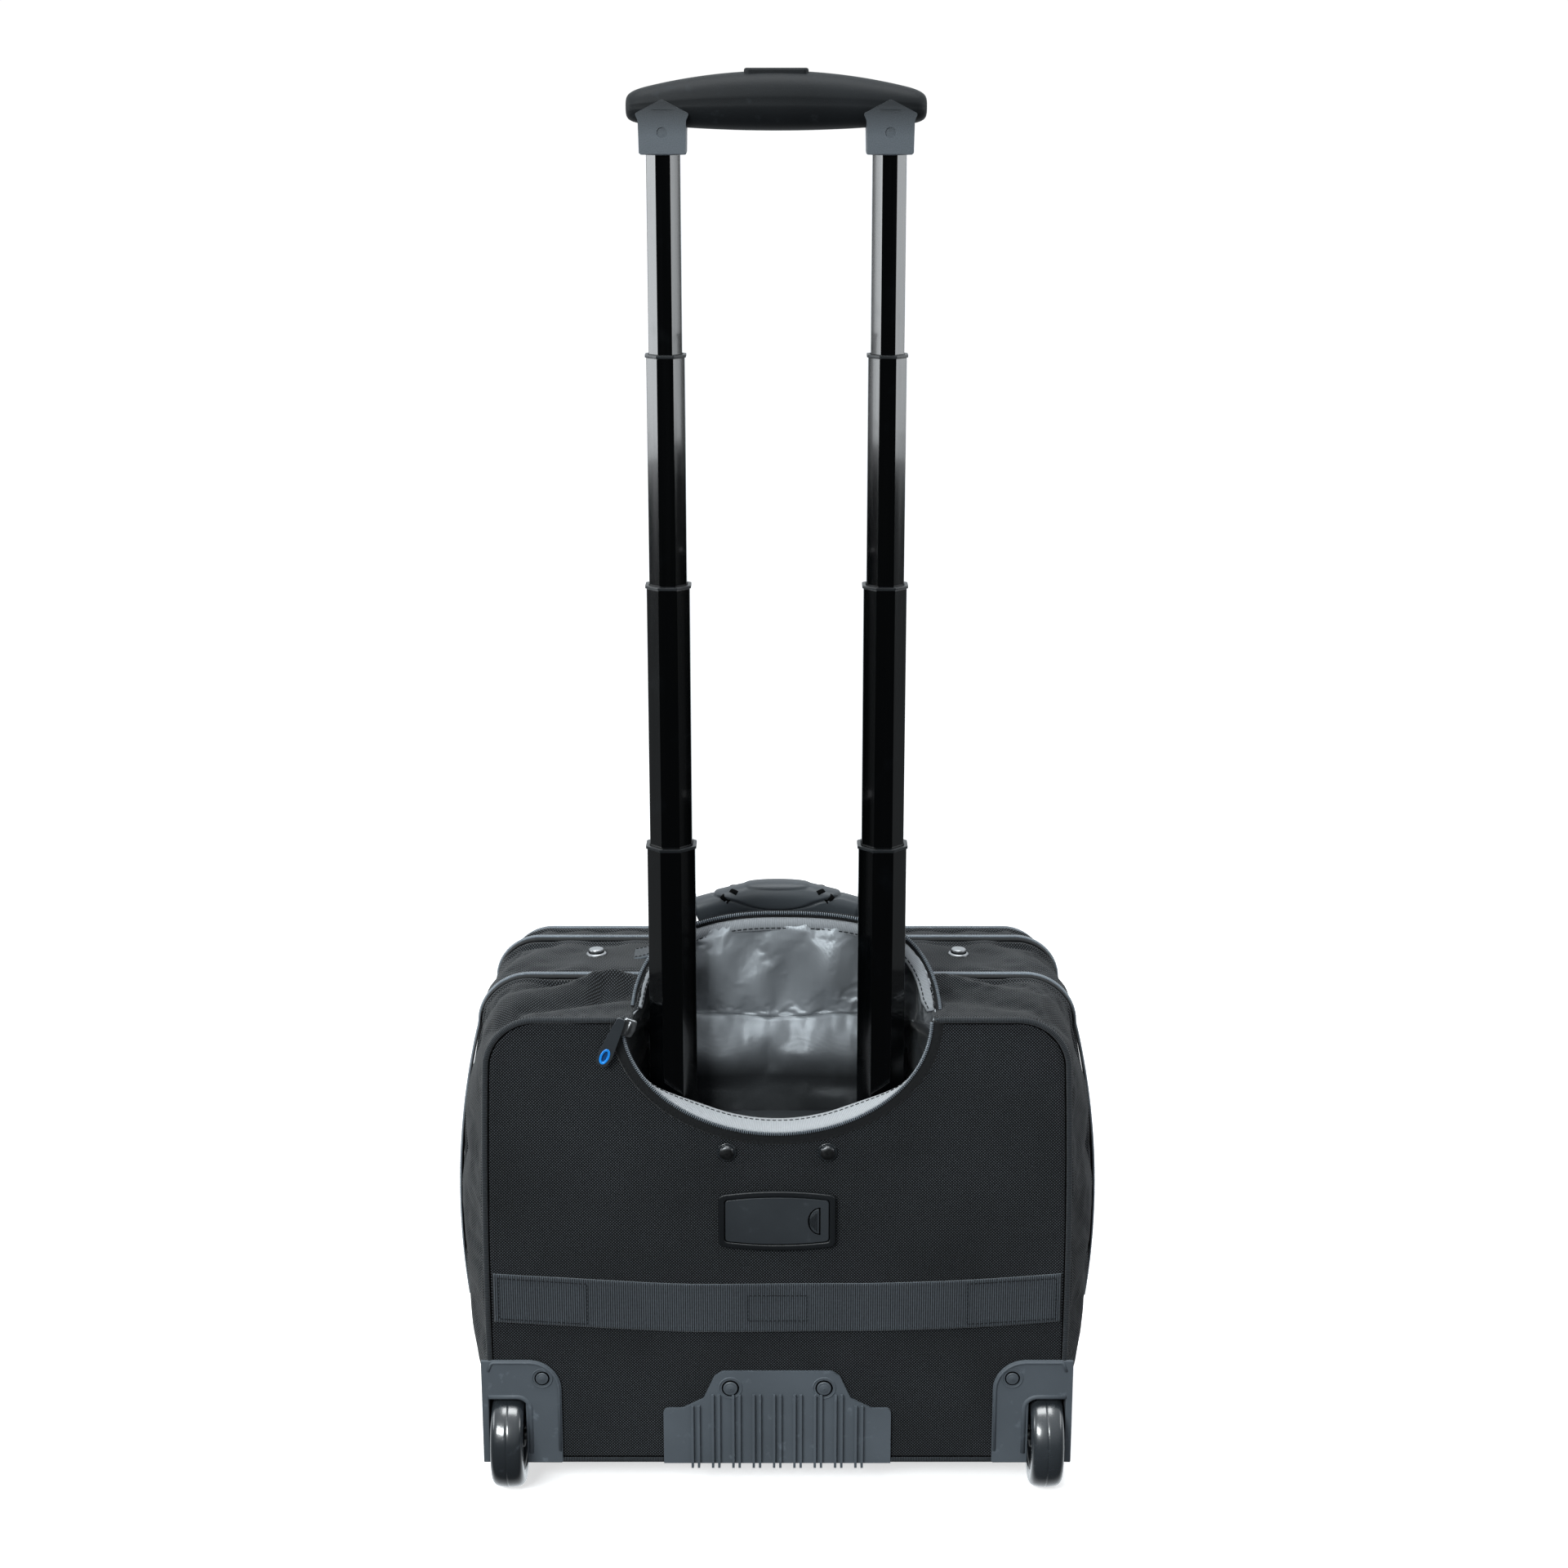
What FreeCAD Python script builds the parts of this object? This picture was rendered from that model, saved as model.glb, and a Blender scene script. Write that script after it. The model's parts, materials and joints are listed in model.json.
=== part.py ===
import FreeCAD, Part
import math
import os
import Sketcher
from FreeCAD import Placement, Rotation, Vector

# A wheeled soft trolley case with a four-stage telescopic handle.
# Drawn in millimetres: x to the right, y from the back panel towards the front, z up from the floor.
# Every sub-part is moved back by origin_depth at the end, so that the row's origin is in the middle
# of the footprint.

DIMENSIONS = [
    # the case
    ("origin_depth", 96, "back panel to the middle of the footprint"),
    ("bag_low", 26, "underside of the bag"),
    ("bag_top", 370, "top of the bag"),
    ("belly_z", 238, "height at which the sides are widest"),
    ("panel_half", 208, "half the width of the back panel"),
    ("wall", 3, "padded fabric wall"),
    ("panel_thick", 2.2, "fabric of the back panel"),
    ("board_thick", 2.5, "stiffening board behind it"),
    ("corner_low", 14, "bottom corner radius"),
    ("rear_deep", 90, "front of the rear section"),
    ("middle_deep", 174, "front of the middle section"),
    ("front_deep", 212, "front of the lid's shell"),
    ("pocket_deep", 215.5, "front of the pocket panel"),
    ("section_gap", 0.4, "gap between lid and middle section"),
    ("tape_half", 6, "half the width of a zipper's tape"),
    ("tape_thick", 1.2, "zipper tape and coil"),
    ("tape_low", 112, "lower end of the section zippers"),
    # the handle opening
    ("mouth_half", 109, "half the width of the handle opening"),
    ("mouth_deep", 85, "height of the handle opening"),
    ("well_front", 60, "lining behind the handle tubes"),
    ("well_low", 62, "floor of the handle well"),
    ("lining_thick", 1.5, "lining"),
    ("flap_root", 353, "seam at the foot of the flap"),
    ("flap_high", 80, "height of the flap"),
    ("flap_thick", 3, "flap with its binding"),
    ("slider_x", 104.5, "parked zip slider, left of the middle"),
    ("slider_z", 366, "parked zip slider"),
    ("slider_half", 5.5, "half the width of the slider"),
    ("slider_half_high", 7, "half the height of the slider"),
    ("slider_thick", 3, "zip slider"),
    ("pull_x", 109.3, "eye of the zip pull, left of the middle"),
    ("pull_z", 373, "eye of the zip pull"),
    ("pull_slant", 24, "slant of the hanging zip pull"),
    ("pull_thick", 2.2, "zip pull"),
    ("ring_thick", 2.6, "oval ring in the zip pull"),
    ("piping_out", 2.6, "how far the piping stands out of the bag"),
    ("piping_deep", 4, "piping from back to front"),
    ("divider_thick", 2.5, "divider behind the middle section"),
    # the handle tubes
    ("pole_half", 74, "half the distance between the poles"),
    ("pole_depth", 30, "axis of the poles"),
    ("tube_wall", 1.2, "wall of every tube"),
    ("guide_gap", 0.35, "clearance of a sliding guide, each side"),
    ("collar_proud", 0.9, "how far a collar stands out of its tube"),
    ("collar_high", 2, "height of a collar"),
    ("lock_high", 10, "height of a lock block"),
    ("outer_wide", 37, "fixed tube across its flats"),
    ("outer_low", 38, "foot of the fixed tube"),
    ("outer_top", 284, "top of the fixed tube"),
    ("lower_wide", 33.5, "lower stage across its flats"),
    ("lower_low", 254, "foot of the lower stage"),
    ("lower_top", 490, "top of the lower stage"),
    ("middle_wide", 29.4, "middle stage across its flats"),
    ("middle_low", 448, "foot of the middle stage"),
    ("middle_top", 675, "top of the middle stage"),
    ("upper_wide", 25.6, "upper stage across its flats"),
    ("upper_low", 613, "foot of the upper stage"),
    ("upper_top", 831, "top of the upper stage"),
    ("grip_tube_wide", 22.3, "grip tube across its flats"),
    ("grip_tube_low", 753, "foot of the grip tube"),
    ("grip_tube_top", 984, "top of the grip tube inside its socket"),
    # the grip
    ("grip_half", 98, "half the length of the grip"),
    ("grip_thick", 34, "grip from back to front"),
    ("grip_centre", 995.5, "height of the grip's parting line"),
    ("grip_rise", 17.5, "half the height of the grip in the middle"),
    ("grip_end_rise", 9, "half the height of the grip at its ends"),
    ("grip_droop", 4, "drop of the grip's line at its ends"),
    ("grip_wall", 2.6, "wall of the grip shells"),
    ("socket_wide", 30.5, "socket across its flats"),
    ("socket_low", 962, "underside of the sockets"),
    ("button_half", 21, "half the length of the release button"),
    ("button_thick", 15, "release button from back to front"),
    ("button_top", 1017, "top of the release button"),
    ("button_low", 1004, "foot of the release button"),
    ("screw_radius", 2.75, "head of the grip screws"),
    ("screw_z", 974, "height of the grip screws"),
    # trolley frame
    ("bracket_half", 101, "half the length of both brackets"),
    ("bracket_back", 6, "back face of both brackets"),
    ("bracket_front", 54, "front face of both brackets"),
    ("base_low", 30, "underside of the base bracket"),
    ("base_high", 30, "height of the base bracket"),
    ("clamp_low", 254, "underside of the upper bracket"),
    ("clamp_high", 26, "height of the upper bracket"),
    # wheels
    ("wheel_x", 198, "middle of the wheel"),
    ("wheel_depth", 14, "axle behind the back panel's plane"),
    ("wheel_radius", 37.5, "wheel"),
    ("tyre_half", 12, "half the width of the tyre"),
    ("tyre_round", 10, "radius of the tyre's shoulders"),
    ("hub_radius", 25, "rim inside the tyre"),
    ("hub_half", 11, "half the width of the hub"),
    ("axle_radius", 4, "axle"),
    ("axle_gap", 0.05, "running clearance of the hub"),
    ("slot_half", 13.5, "half the width of the wheel slot"),
    ("guard_wall", 3, "wall of the wheel guards"),
    ("guard_inner", 158, "inner edge of the wheel guards"),
    ("guard_outer", 216.5, "outer edge of the wheel guards"),
    ("guard_low", 24, "underside of the wheel guards"),
    ("guard_top", 107, "top of the wheel guards"),
    ("guard_corner", 24, "radius of the guards' top inner corner"),
    ("guard_face", 2.5, "thickness of the guards' face plate"),
    ("guard_deep", 58, "depth of the wheel housing"),
    ("house_top", 80, "top of the wheel housing"),
    # back panel fittings
    ("kick_half", 83.5, "half the width of the kick plate"),
    ("kick_low", 23.5, "underside of the kick plate"),
    ("kick_shoulder", 68, "shoulder of the kick plate"),
    ("kick_top", 98, "top of the kick plate"),
    ("kick_neck", 46, "half the width of the kick plate's top"),
    ("kick_thick", 2.5, "kick plate"),
    ("rail_pitch", 15, "pitch of the double rails"),
    ("rail_wide", 1.8, "one rail"),
    ("rail_proud", 2.6, "how far the rails stand out"),
    ("rail_top", 80, "top of the rails"),
    ("rivet_radius", 5.2, "head of a rivet"),
    ("kick_rivet_x", 34.3, "rivets of the kick plate"),
    ("kick_rivet_z", 85, "rivets of the kick plate"),
    ("guard_rivet_x", 172, "rivets of the wheel guards"),
    ("guard_rivet_z", 93, "rivets of the wheel guards"),
    ("band_half_high", 19, "half the height of the webbing band"),
    ("band_z", 149, "middle of the webbing band"),
    ("band_lift", 8, "rise of the webbing band at its ends"),
    ("band_thick", 1.8, "webbing band"),
    ("stud_radius", 7, "flange of a stud"),
    ("stud_cap", 5.75, "cap of a stud"),
    ("stud_x", 36, "studs on the back panel"),
    ("stud_z", 270.5, "studs on the back panel"),
    ("top_stud_x", 135.5, "studs on the top"),
    ("top_stud_depth", 136, "studs on the top"),
    ("tag_half", 42, "half the width of the tag holder"),
    ("tag_half_high", 23, "half the height of the tag holder"),
    ("tag_z", 218.5, "middle of the tag holder"),
    ("tag_proud", 4, "tag holder"),
    ("tag_cover_half", 37.5, "half the width of its cover"),
    ("tag_cover_high", 18.5, "half the height of its cover"),
    ("tag_gap", 0.5, "gap round the cover"),
    # carry handle
    ("carry_depth", 136, "carry handle"),
    ("carry_pin_x", 58, "pins of the carry handle"),
    ("carry_pin_z", 408, "pins of the carry handle"),
    ("carry_rise", 9, "rise of the carry handle above its pins"),
    ("carry_high", 24, "height of the carry handle's section"),
    ("carry_thick", 20, "carry handle from back to front"),
    ("carry_pin", 2, "radius of the pins"),
    ("carry_pin_from", 50, "inner end of the pins"),
    ("carry_pin_long", 22, "length of the pins"),
    ("anchor_foot", 108, "outer end of the anchors"),
    ("anchor_thick", 22, "anchors from back to front"),
    ("anchor_base", 4, "height of the anchors' feet"),
    # feet
    ("foot_x", 165, "front feet"),
    ("foot_depth", 156, "front feet"),
    ("foot_half", 17, "half the length of a foot"),
    ("foot_thick", 16, "foot from back to front"),
]

doc = FreeCAD.newDocument("trolley_case")
dims = doc.addObject("Spreadsheet::Sheet", "dims")
for row, (alias, amount, meaning) in enumerate(DIMENSIONS, start=1):
    dims.set(f"A{row}", alias)
    dims.set(f"B{row}", str(amount))
    dims.set(f"C{row}", meaning)
    dims.setAlias(f"B{row}", alias)
doc.recompute()

nodes = []


def number(expression):
    """The value of an expression on the dimension sheet, written with plain aliases."""
    return float(dims.evalExpression(expression))


def on_sheet(expression):
    """The same expression as another object of the document writes it."""
    words = []
    word = ""
    for letter in expression + " ":
        if letter.isalnum() or letter in "_.":
            word += letter
            continue
        words.append(f"dims.{word}" if word in aliases else word)
        words.append(letter)
        word = ""
    return "".join(words).strip()


aliases = {alias for alias, _, _ in DIMENSIONS}


def bind(thing, prop, expression):
    thing.setExpression(prop, on_sheet(expression))


def finish_node(thing, label, x="0", y="0", z="0", rotation=None):
    """Name a sub-part and set its place in the row's frame."""
    thing.Label = label
    thing.Placement = Placement(Vector(0, 0, 0), rotation or Rotation())
    bind(thing, "Placement.Base.x", x)
    bind(thing, "Placement.Base.y", f"{y}-origin_depth")
    bind(thing, "Placement.Base.z", z)
    nodes.append(thing)
    return thing


# ---------------------------------------------------------------- PartDesign helpers

def new_body(name):
    body = doc.addObject("PartDesign::Body", name)
    body.AllowCompound = True
    return body


def origin_item(body, role):
    return next(item for item in body.Origin.OriginFeatures if item.Role == role)


def new_sketch(body, role, lift="0"):
    sketch = body.newObject("Sketcher::SketchObject", f"{body.Name}_sketch")
    sketch.AttachmentSupport = [(origin_item(body, role), "")]
    sketch.MapMode = "FlatFace"
    bind(sketch, ".AttachmentOffset.Base.z", lift)
    return sketch


def locate(sketch, geometry, point, place):
    """Tie one point of a sketch to the sketch's origin."""
    for kind, expression in zip(("DistanceX", "DistanceY"), place):
        constraint = Sketcher.Constraint(kind, -1, 1, geometry, point, number(expression))
        index = sketch.addConstraint(constraint)
        bind(sketch, f"Constraints[{index}]", expression)


def draw_polygon(sketch, points):
    first = sketch.GeometryCount
    corners = [Vector(number(a), number(b), 0) for a, b in points]
    count = len(points)
    for i in range(count):
        sketch.addGeometry(Part.LineSegment(corners[i], corners[(i + 1) % count]), False)
    for i in range(count):
        sketch.addConstraint(Sketcher.Constraint("Coincident", first + i, 2, first + (i + 1) % count, 1))
    for i, point in enumerate(points):
        locate(sketch, first + i, 1, point)


def draw_circle(sketch, centre, radius):
    circle = Part.Circle(Vector(number(centre[0]), number(centre[1]), 0), Vector(0, 0, 1), number(radius))
    geometry = sketch.addGeometry(circle, False)
    locate(sketch, geometry, 3, centre)
    index = sketch.addConstraint(Sketcher.Constraint("Radius", geometry, number(radius)))
    bind(sketch, f"Constraints[{index}]", radius)


def rectangle(a0, a1, b0, b1):
    return [(a0, b0), (a1, b0), (a1, b1), (a0, b1)]


def octagon(wide):
    """A regular octagon with its flats to the left, right, back and front."""
    side = f"{wide}/2"
    edge = f"{wide}*0.2071068"
    signs = [(1, -1, 0), (1, 1, 0), (1, 1, 1), (-1, 1, 1), (-1, 1, 0), (-1, -1, 0), (-1, -1, 1), (1, -1, 1)]
    return [
        (f"{sx}*({edge if turned else side})", f"{sy}*({side if turned else edge})")
        for sx, sy, turned in signs
    ]


def pad(body, sketch, length, backwards=False):
    feature = body.newObject("PartDesign::Pad", f"{body.Name}_pad")
    feature.Profile = sketch
    bind(feature, "Length", length)
    feature.Reversed = backwards
    doc.recompute()
    return feature


def pocket(body, sketch, length, backwards=False):
    before = body.Tip.Shape.Volume
    feature = body.newObject("PartDesign::Pocket", f"{body.Name}_pocket")
    feature.Profile = sketch
    bind(feature, "Length", length)
    feature.Reversed = backwards
    doc.recompute()
    if feature.Shape.Volume >= before - 1e-6:
        raise RuntimeError(f"the pocket in {body.Name} cuts nothing")
    return feature


def face_pad(body, shapes, back, deep):
    """Pad outlines drawn in x and z, from depth back towards the front."""
    sketch = new_sketch(body, "XZ_Plane", f"-({back})")
    for draw, arguments in shapes:
        draw(sketch, *arguments)
    return pad(body, sketch, deep, backwards=True)


def plan_pad(body, shapes, low, high):
    """Pad outlines drawn in x and y, from height low upwards."""
    sketch = new_sketch(body, "XY_Plane", low)
    for draw, arguments in shapes:
        draw(sketch, *arguments)
    return pad(body, sketch, high)


def plan_pocket(body, shapes, top, deep):
    """Cut outlines drawn in x and y, from height top downwards."""
    sketch = new_sketch(body, "XY_Plane", top)
    for draw, arguments in shapes:
        draw(sketch, *arguments)
    return pocket(body, sketch, deep)


def round_edges(body, radius, wanted, kind="PartDesign::Fillet"):
    """Round or chamfer those edges of a body that wanted() picks."""
    base = body.Tip
    names = [f"Edge{i}" for i, edge in enumerate(base.Shape.Edges, start=1) if wanted(edge)]
    feature = body.newObject(kind, f"{body.Name}_round")
    feature.Base = (base, names)
    bind(feature, "Radius" if kind.endswith("Fillet") else "Size", radius)
    doc.recompute()
    return feature


def mirror(body, originals):
    """Add the other side's copies of some features."""
    feature = body.newObject("PartDesign::Mirrored", f"{body.Name}_mirror")
    feature.Originals = originals
    feature.MirrorPlane = (origin_item(body, "YZ_Plane"), [""])
    body.Tip = feature
    doc.recompute()
    return feature


def upright(edge):
    """An edge that runs straight up."""
    box = edge.BoundBox
    return box.ZLength > 1 and box.XLength < 1e-4 and box.YLength < 1e-4


def crosswise(edge):
    """An edge that runs straight from back to front."""
    box = edge.BoundBox
    return box.YLength > 0.5 and box.XLength < 1e-4 and box.ZLength < 1e-4


# ---------------------------------------------------------------- the bag's outline

# depth, half width low, at the belly and at the top, top height, top corner radius
STATIONS = [
    (0, 208, 209, 206, 370, 36),
    (32, 214, 224, 213, 371, 36),
    (90, 217, 234, 218, 371, 36),
    (132, 218, 235, 217, 371, 33),
    (174, 217, 232, 213, 371, 31),
    (212, 209, 221, 206, 368, 31),
]


def profile(depth):
    """The bag's half widths, top height and corner radius at a depth."""
    for near, far in zip(STATIONS, STATIONS[1:]):
        if depth <= far[0] or far is STATIONS[-1]:
            share = (depth - near[0]) / (far[0] - near[0])
            return [a + share * (b - a) for a, b in zip(near[1:], far[1:])]


def section_wire(depth, inset=0.0, low=None, at=None):
    """The bag's outline at one depth, moved in by inset; at places it at another depth."""
    wide_low, wide_belly, wide_top, top, corner = profile(depth)
    y = depth if at is None else at
    low = (number("bag_low") if low is None else low) + inset
    top -= inset
    round_low = max(number("corner_low") - inset, 2)
    round_top = max(corner - inset, 2)
    slant = 1 - math.sqrt(0.5)
    halves = []
    for side in (1, -1):
        foot = Vector(side * (wide_low - inset), y, low + round_low)
        belly = Vector(side * (wide_belly - inset), y, number("belly_z"))
        shoulder = Vector(side * (wide_top - inset), y, top - round_top)
        crown = Vector(side * (wide_top - inset - round_top), y, top)
        crown_mid = Vector(side * (wide_top - inset - round_top * slant), y, top - round_top * slant)
        heel = Vector(side * (wide_low - inset - round_low), y, low)
        heel_mid = Vector(side * (wide_low - inset - round_low * slant), y, low + round_low * slant)
        halves.append((heel, heel_mid, foot, belly, shoulder, crown_mid, crown))
    (heel, heel_mid, foot, belly, shoulder, crown_mid, crown), other = halves
    edges = [
        Part.Arc(heel, heel_mid, foot).toShape(),
        Part.Arc(foot, belly, shoulder).toShape(),
        Part.Arc(shoulder, crown_mid, crown).toShape(),
        Part.LineSegment(crown, other[6]).toShape(),
        Part.Arc(other[6], other[5], other[4]).toShape(),
        Part.Arc(other[4], other[3], other[2]).toShape(),
        Part.Arc(other[2], other[1], other[0]).toShape(),
        Part.LineSegment(other[0], heel).toShape(),
    ]
    return Part.Wire(edges)


def stretch(back, front, inset=0.0, spare=0.0):
    """The solid between two depths of the bag, run on by spare at both ends."""
    depths = [back] + [s[0] for s in STATIONS if back < s[0] < front] + [front]
    wires = [section_wire(depth, inset) for depth in depths]
    if spare:
        wires.insert(0, section_wire(back, inset, at=back - spare))
        wires.append(section_wire(front, inset, at=front + spare))
    return Part.makeLoft(wires, True, True)


def shell_ring(back, front, inset, thick):
    """A wall that follows the bag's outline, open at the back and front."""
    return stretch(back, front, inset).cut(stretch(back, front, inset + thick, spare=1))


def block(x0, x1, y0, y1, z0, z1):
    return Part.makeBox(x1 - x0, y1 - y0, z1 - z0, Vector(x0, y0, z0))


def mouth_solid(grow, back, front):
    """The half ellipse of the handle opening, larger by grow, between two depths."""
    half = number("mouth_half") + grow
    deep = number("mouth_deep") + grow
    top = number("bag_top")
    ellipse = Part.Ellipse(Vector(0, 0, 0), half, deep)
    arc = Part.Arc(ellipse, math.pi, 2 * math.pi).toShape()
    rim = [Vector(half, 0, 0), Vector(half, 20, 0), Vector(-half, 20, 0), Vector(-half, 0, 0)]
    lines = [Part.LineSegment(a, b).toShape() for a, b in zip(rim, rim[1:])]
    face = Part.Face(Part.Wire([arc] + lines))
    solid = face.extrude(Vector(0, 0, back - front))
    solid.rotate(Vector(0, 0, 0), Vector(1, 0, 0), 90)
    solid.translate(Vector(0, back, top))
    return solid


def wheel_space(side, grow=0.0):
    """The block that each wheel's housing takes out of the bag's lower corner."""
    inner = number("wheel_x-slot_half-guard_wall") - grow
    outer = number("guard_outer") + 10
    low, high = sorted((side * inner, side * outer))
    return block(low, high, -20, number("guard_deep") + grow, 0, number("house_top") + grow)


def plain_feature(label, shape):
    """A soft or lofted sub-part whose outline follows the bag.

    The compound keeps the moves already made on the shape when the node gets its own Placement."""
    feature = doc.addObject("Part::Feature", label)
    feature.Shape = Part.makeCompound(shape.Solids)
    return finish_node(feature, label)


# ---------------------------------------------------------------- fabric sections

def make_back_panel():
    thick = number("panel_thick")
    face = Part.Face(section_wire(0))
    panel = face.extrude(Vector(0, thick, 0)).cut(mouth_solid(0, -5, 20))
    board = Part.Face(section_wire(0, inset=6)).extrude(Vector(0, number("board_thick"), 0))
    board.translate(Vector(0, thick, 0))
    board = board.cut(mouth_solid(8, -5, 20))
    for side in (1, -1):
        panel = panel.cut(wheel_space(side))
        board = board.cut(wheel_space(side))
    plain_feature("back_panel", panel)
    plain_feature("back_board", board)


def make_piping():
    deep = number("piping_deep")
    ring = stretch(0, deep, inset=-number("piping_out")).cut(stretch(0, deep, spare=1))
    wheels = [wheel_space(side) for side in (1, -1)]
    gap = block(-number("mouth_half"), number("mouth_half"), -5, 20, number("bag_top-3"), 400)
    kick = number("kick_half+0.3")
    under = block(-kick, kick, -5, 20, 0, number("bag_low+5"))
    plain_feature("back_piping", ring.cut(Part.makeCompound(wheels + [gap, under])))


def make_rear_gusset():
    thick = number("panel_thick")
    ring = shell_ring(thick, number("rear_deep"), 0, number("wall"))
    half = number("mouth_half")
    cuts = [block(-half, half, -5, number("rear_deep+5"), number("bag_top-12"), 400)]
    cuts += [wheel_space(side) for side in (1, -1)]
    plain_feature("rear_gusset", ring.cut(Part.makeCompound(cuts)))


def make_middle_gusset():
    shape = shell_ring(number("rear_deep"), number("middle_deep"), 0, number("wall"))
    plain_feature("middle_gusset", shape)


def make_divider():
    back = number("rear_deep+2")
    face = Part.Face(section_wire(back, inset=number("wall")))
    plain_feature("divider_panel", face.extrude(Vector(0, number("divider_thick"), 0)))


def make_lid():
    """The front compartment: a tray with a rounded bottom edge, open towards the case."""
    back = number("middle_deep+section_gap")
    front = number("front_deep")
    steps = [(0.0, 1.0), (0.55, 6.0), (0.85, 17.0), (1.0, 34.0)]
    wall = number("wall")

    def tray(inset, spare, last):
        wires = []
        for share, lift in steps:
            depth = back + share * (last - back)
            wires.append(section_wire(depth, inset, low=number("bag_low") + lift))
        if spare:
            wires.insert(0, section_wire(back, inset, low=number("bag_low") + 1, at=back - 1))
        return Part.makeLoft(wires, True, True)

    outside = tray(0, False, front)
    plain_feature("front_lid", outside.cut(tray(wall, True, front - wall)))
    half = number("tape_half")
    band = stretch(front - half, front, -number("tape_thick")).cut(outside)
    plain_feature("pocket_zipper", band.common(block(-300, 300, 0, 300, number("tape_low"), 400)))
    low = number("bag_low") + 48
    face = Part.Face(section_wire(front, inset=14, low=low - 14))
    panel = face.extrude(Vector(0, number("pocket_deep-front_deep-0.3"), 0))
    panel.translate(Vector(0, 0.3, 0))
    plain_feature("pocket_panel", panel)


def make_section_zippers():
    half = number("tape_half")
    thick = number("tape_thick")
    keep = block(-300, 300, 0, 300, number("tape_low"), 400)
    mouth = block(-number("mouth_half"), number("mouth_half"), 0, number("rear_deep"), 300, 400)
    for label, back, front in (
        ("compartment_zipper", number("rear_deep") - half, number("rear_deep") + half),
        ("main_zipper", number("middle_deep") - half, number("middle_deep")),
    ):
        band = stretch(back, front, -thick).cut(stretch(back, front, 0, spare=1)).common(keep)
        plain_feature(label, band.cut(mouth) if label == "compartment_zipper" else band)


def make_mouth_zipper():
    thick = number("tape_thick")
    band = mouth_solid(11, -thick, 0).cut(mouth_solid(0, -thick - 1, 1))
    band = band.common(block(-200, 200, -10, 10, 200, number("bag_top")))
    plain_feature("opening_zipper", band)


def make_flap():
    """The unzipped D-shaped flap, which stands in front of the poles."""
    root = number("flap_root")
    half = number("mouth_half-3")
    ellipse = Part.Ellipse(Vector(0, 0, 0), half, number("flap_high"))
    arc = Part.Arc(ellipse, 0, math.pi).toShape()
    foot = Part.LineSegment(Vector(-half, 0, 0), Vector(half, 0, 0)).toShape()
    solid = Part.Face(Part.Wire([arc, foot])).extrude(Vector(0, 0, -number("flap_thick")))
    solid.rotate(Vector(0, 0, 0), Vector(1, 0, 0), 90)
    solid.translate(Vector(0, number("well_front-flap_thick/2"), root + 0.4))
    plain_feature("flap", solid)


def make_well_lining():
    """Lining of the handle well: behind the poles, at both sides, and up to the section zipper."""
    body = new_body("well_lining")
    sketch = new_sketch(body, "YZ_Plane", "-mouth_half")
    draw_polygon(sketch, [
        ("well_front-1.5", "well_low"),
        ("well_front-1.5+lining_thick", "well_low"),
        ("well_front-1.5+lining_thick", "flap_root-3.5"),
        ("well_front+2.5", "flap_root-3.5"),
        ("rear_deep", "bag_top-4"),
        ("rear_deep", "bag_top-1"),
        ("well_front+2", "flap_root-2"),
        ("well_front-1.5", "flap_root-2"),
    ])
    pad(body, sketch, "2*mouth_half")
    walls = [
        (draw_polygon, (rectangle(f"{side}*mouth_half", f"{side}*(mouth_half+lining_thick)",
                                  "panel_thick+board_thick", "well_front-1.5+lining_thick"),))
        for side in (1, -1)
    ]
    plan_pad(body, walls, "well_low", "bag_top-4-well_low")
    finish_node(body, "handle_well_lining")


# ---------------------------------------------------------------- telescopic handle

def make_tube(label, wide, low, top, side):
    body = new_body(label)
    shapes = [(draw_polygon, (octagon(wide),)), (draw_polygon, (octagon(f"({wide}-2*tube_wall)"),))]
    plan_pad(body, shapes, "0", f"{top}-{low}")
    reach = number(wide) / 2 * 1.03
    round_edges(body, "1.2", lambda e: upright(e) and e.CenterOfMass.sub(
        Vector(0, 0, e.CenterOfMass.z)).Length > reach)
    finish_node(body, label, x=f"{side}*pole_half", y="pole_depth", z=low)


def shifted_octagon(wide, side):
    return [(f"{a}+{side}*pole_half", b) for a, b in octagon(wide)]


def make_pair(label, low, high, outer, inner=None):
    """Octagonal rings or blocks on both poles."""
    body = new_body(label)
    shapes = []
    for side in (1, -1):
        shapes.append((draw_polygon, (shifted_octagon(outer, side),)))
        if inner:
            shapes.append((draw_polygon, (shifted_octagon(inner, side),)))
    plan_pad(body, shapes, "0", high)
    finish_node(body, label, y="pole_depth", z=low)


def make_stages():
    """The fixed tubes, then three stages and the grip tubes, each sliding in the one before."""
    stages = ["outer", "lower", "middle", "upper", "grip_tube"]
    for stage in stages:
        name = stage if stage == "grip_tube" else f"{stage}_tube"
        for word, side in (("left", -1), ("right", 1)):
            make_tube(f"{name}_{word}", f"{stage}_wide", f"{stage}_low", f"{stage}_top", side)
    for stage, inside in zip(stages, stages[1:]):
        collar = f"({stage}_wide+2*collar_proud)"
        make_pair(f"{stage}_collars", f"{stage}_top", "collar_high", collar,
                  f"({inside}_wide+2*guide_gap)")
        make_pair(f"{inside}_lock_blocks", f"{inside}_low-lock_high", "lock_high",
                  f"({stage}_wide-2*tube_wall-2*guide_gap)")


# ---------------------------------------------------------------- grip

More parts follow.
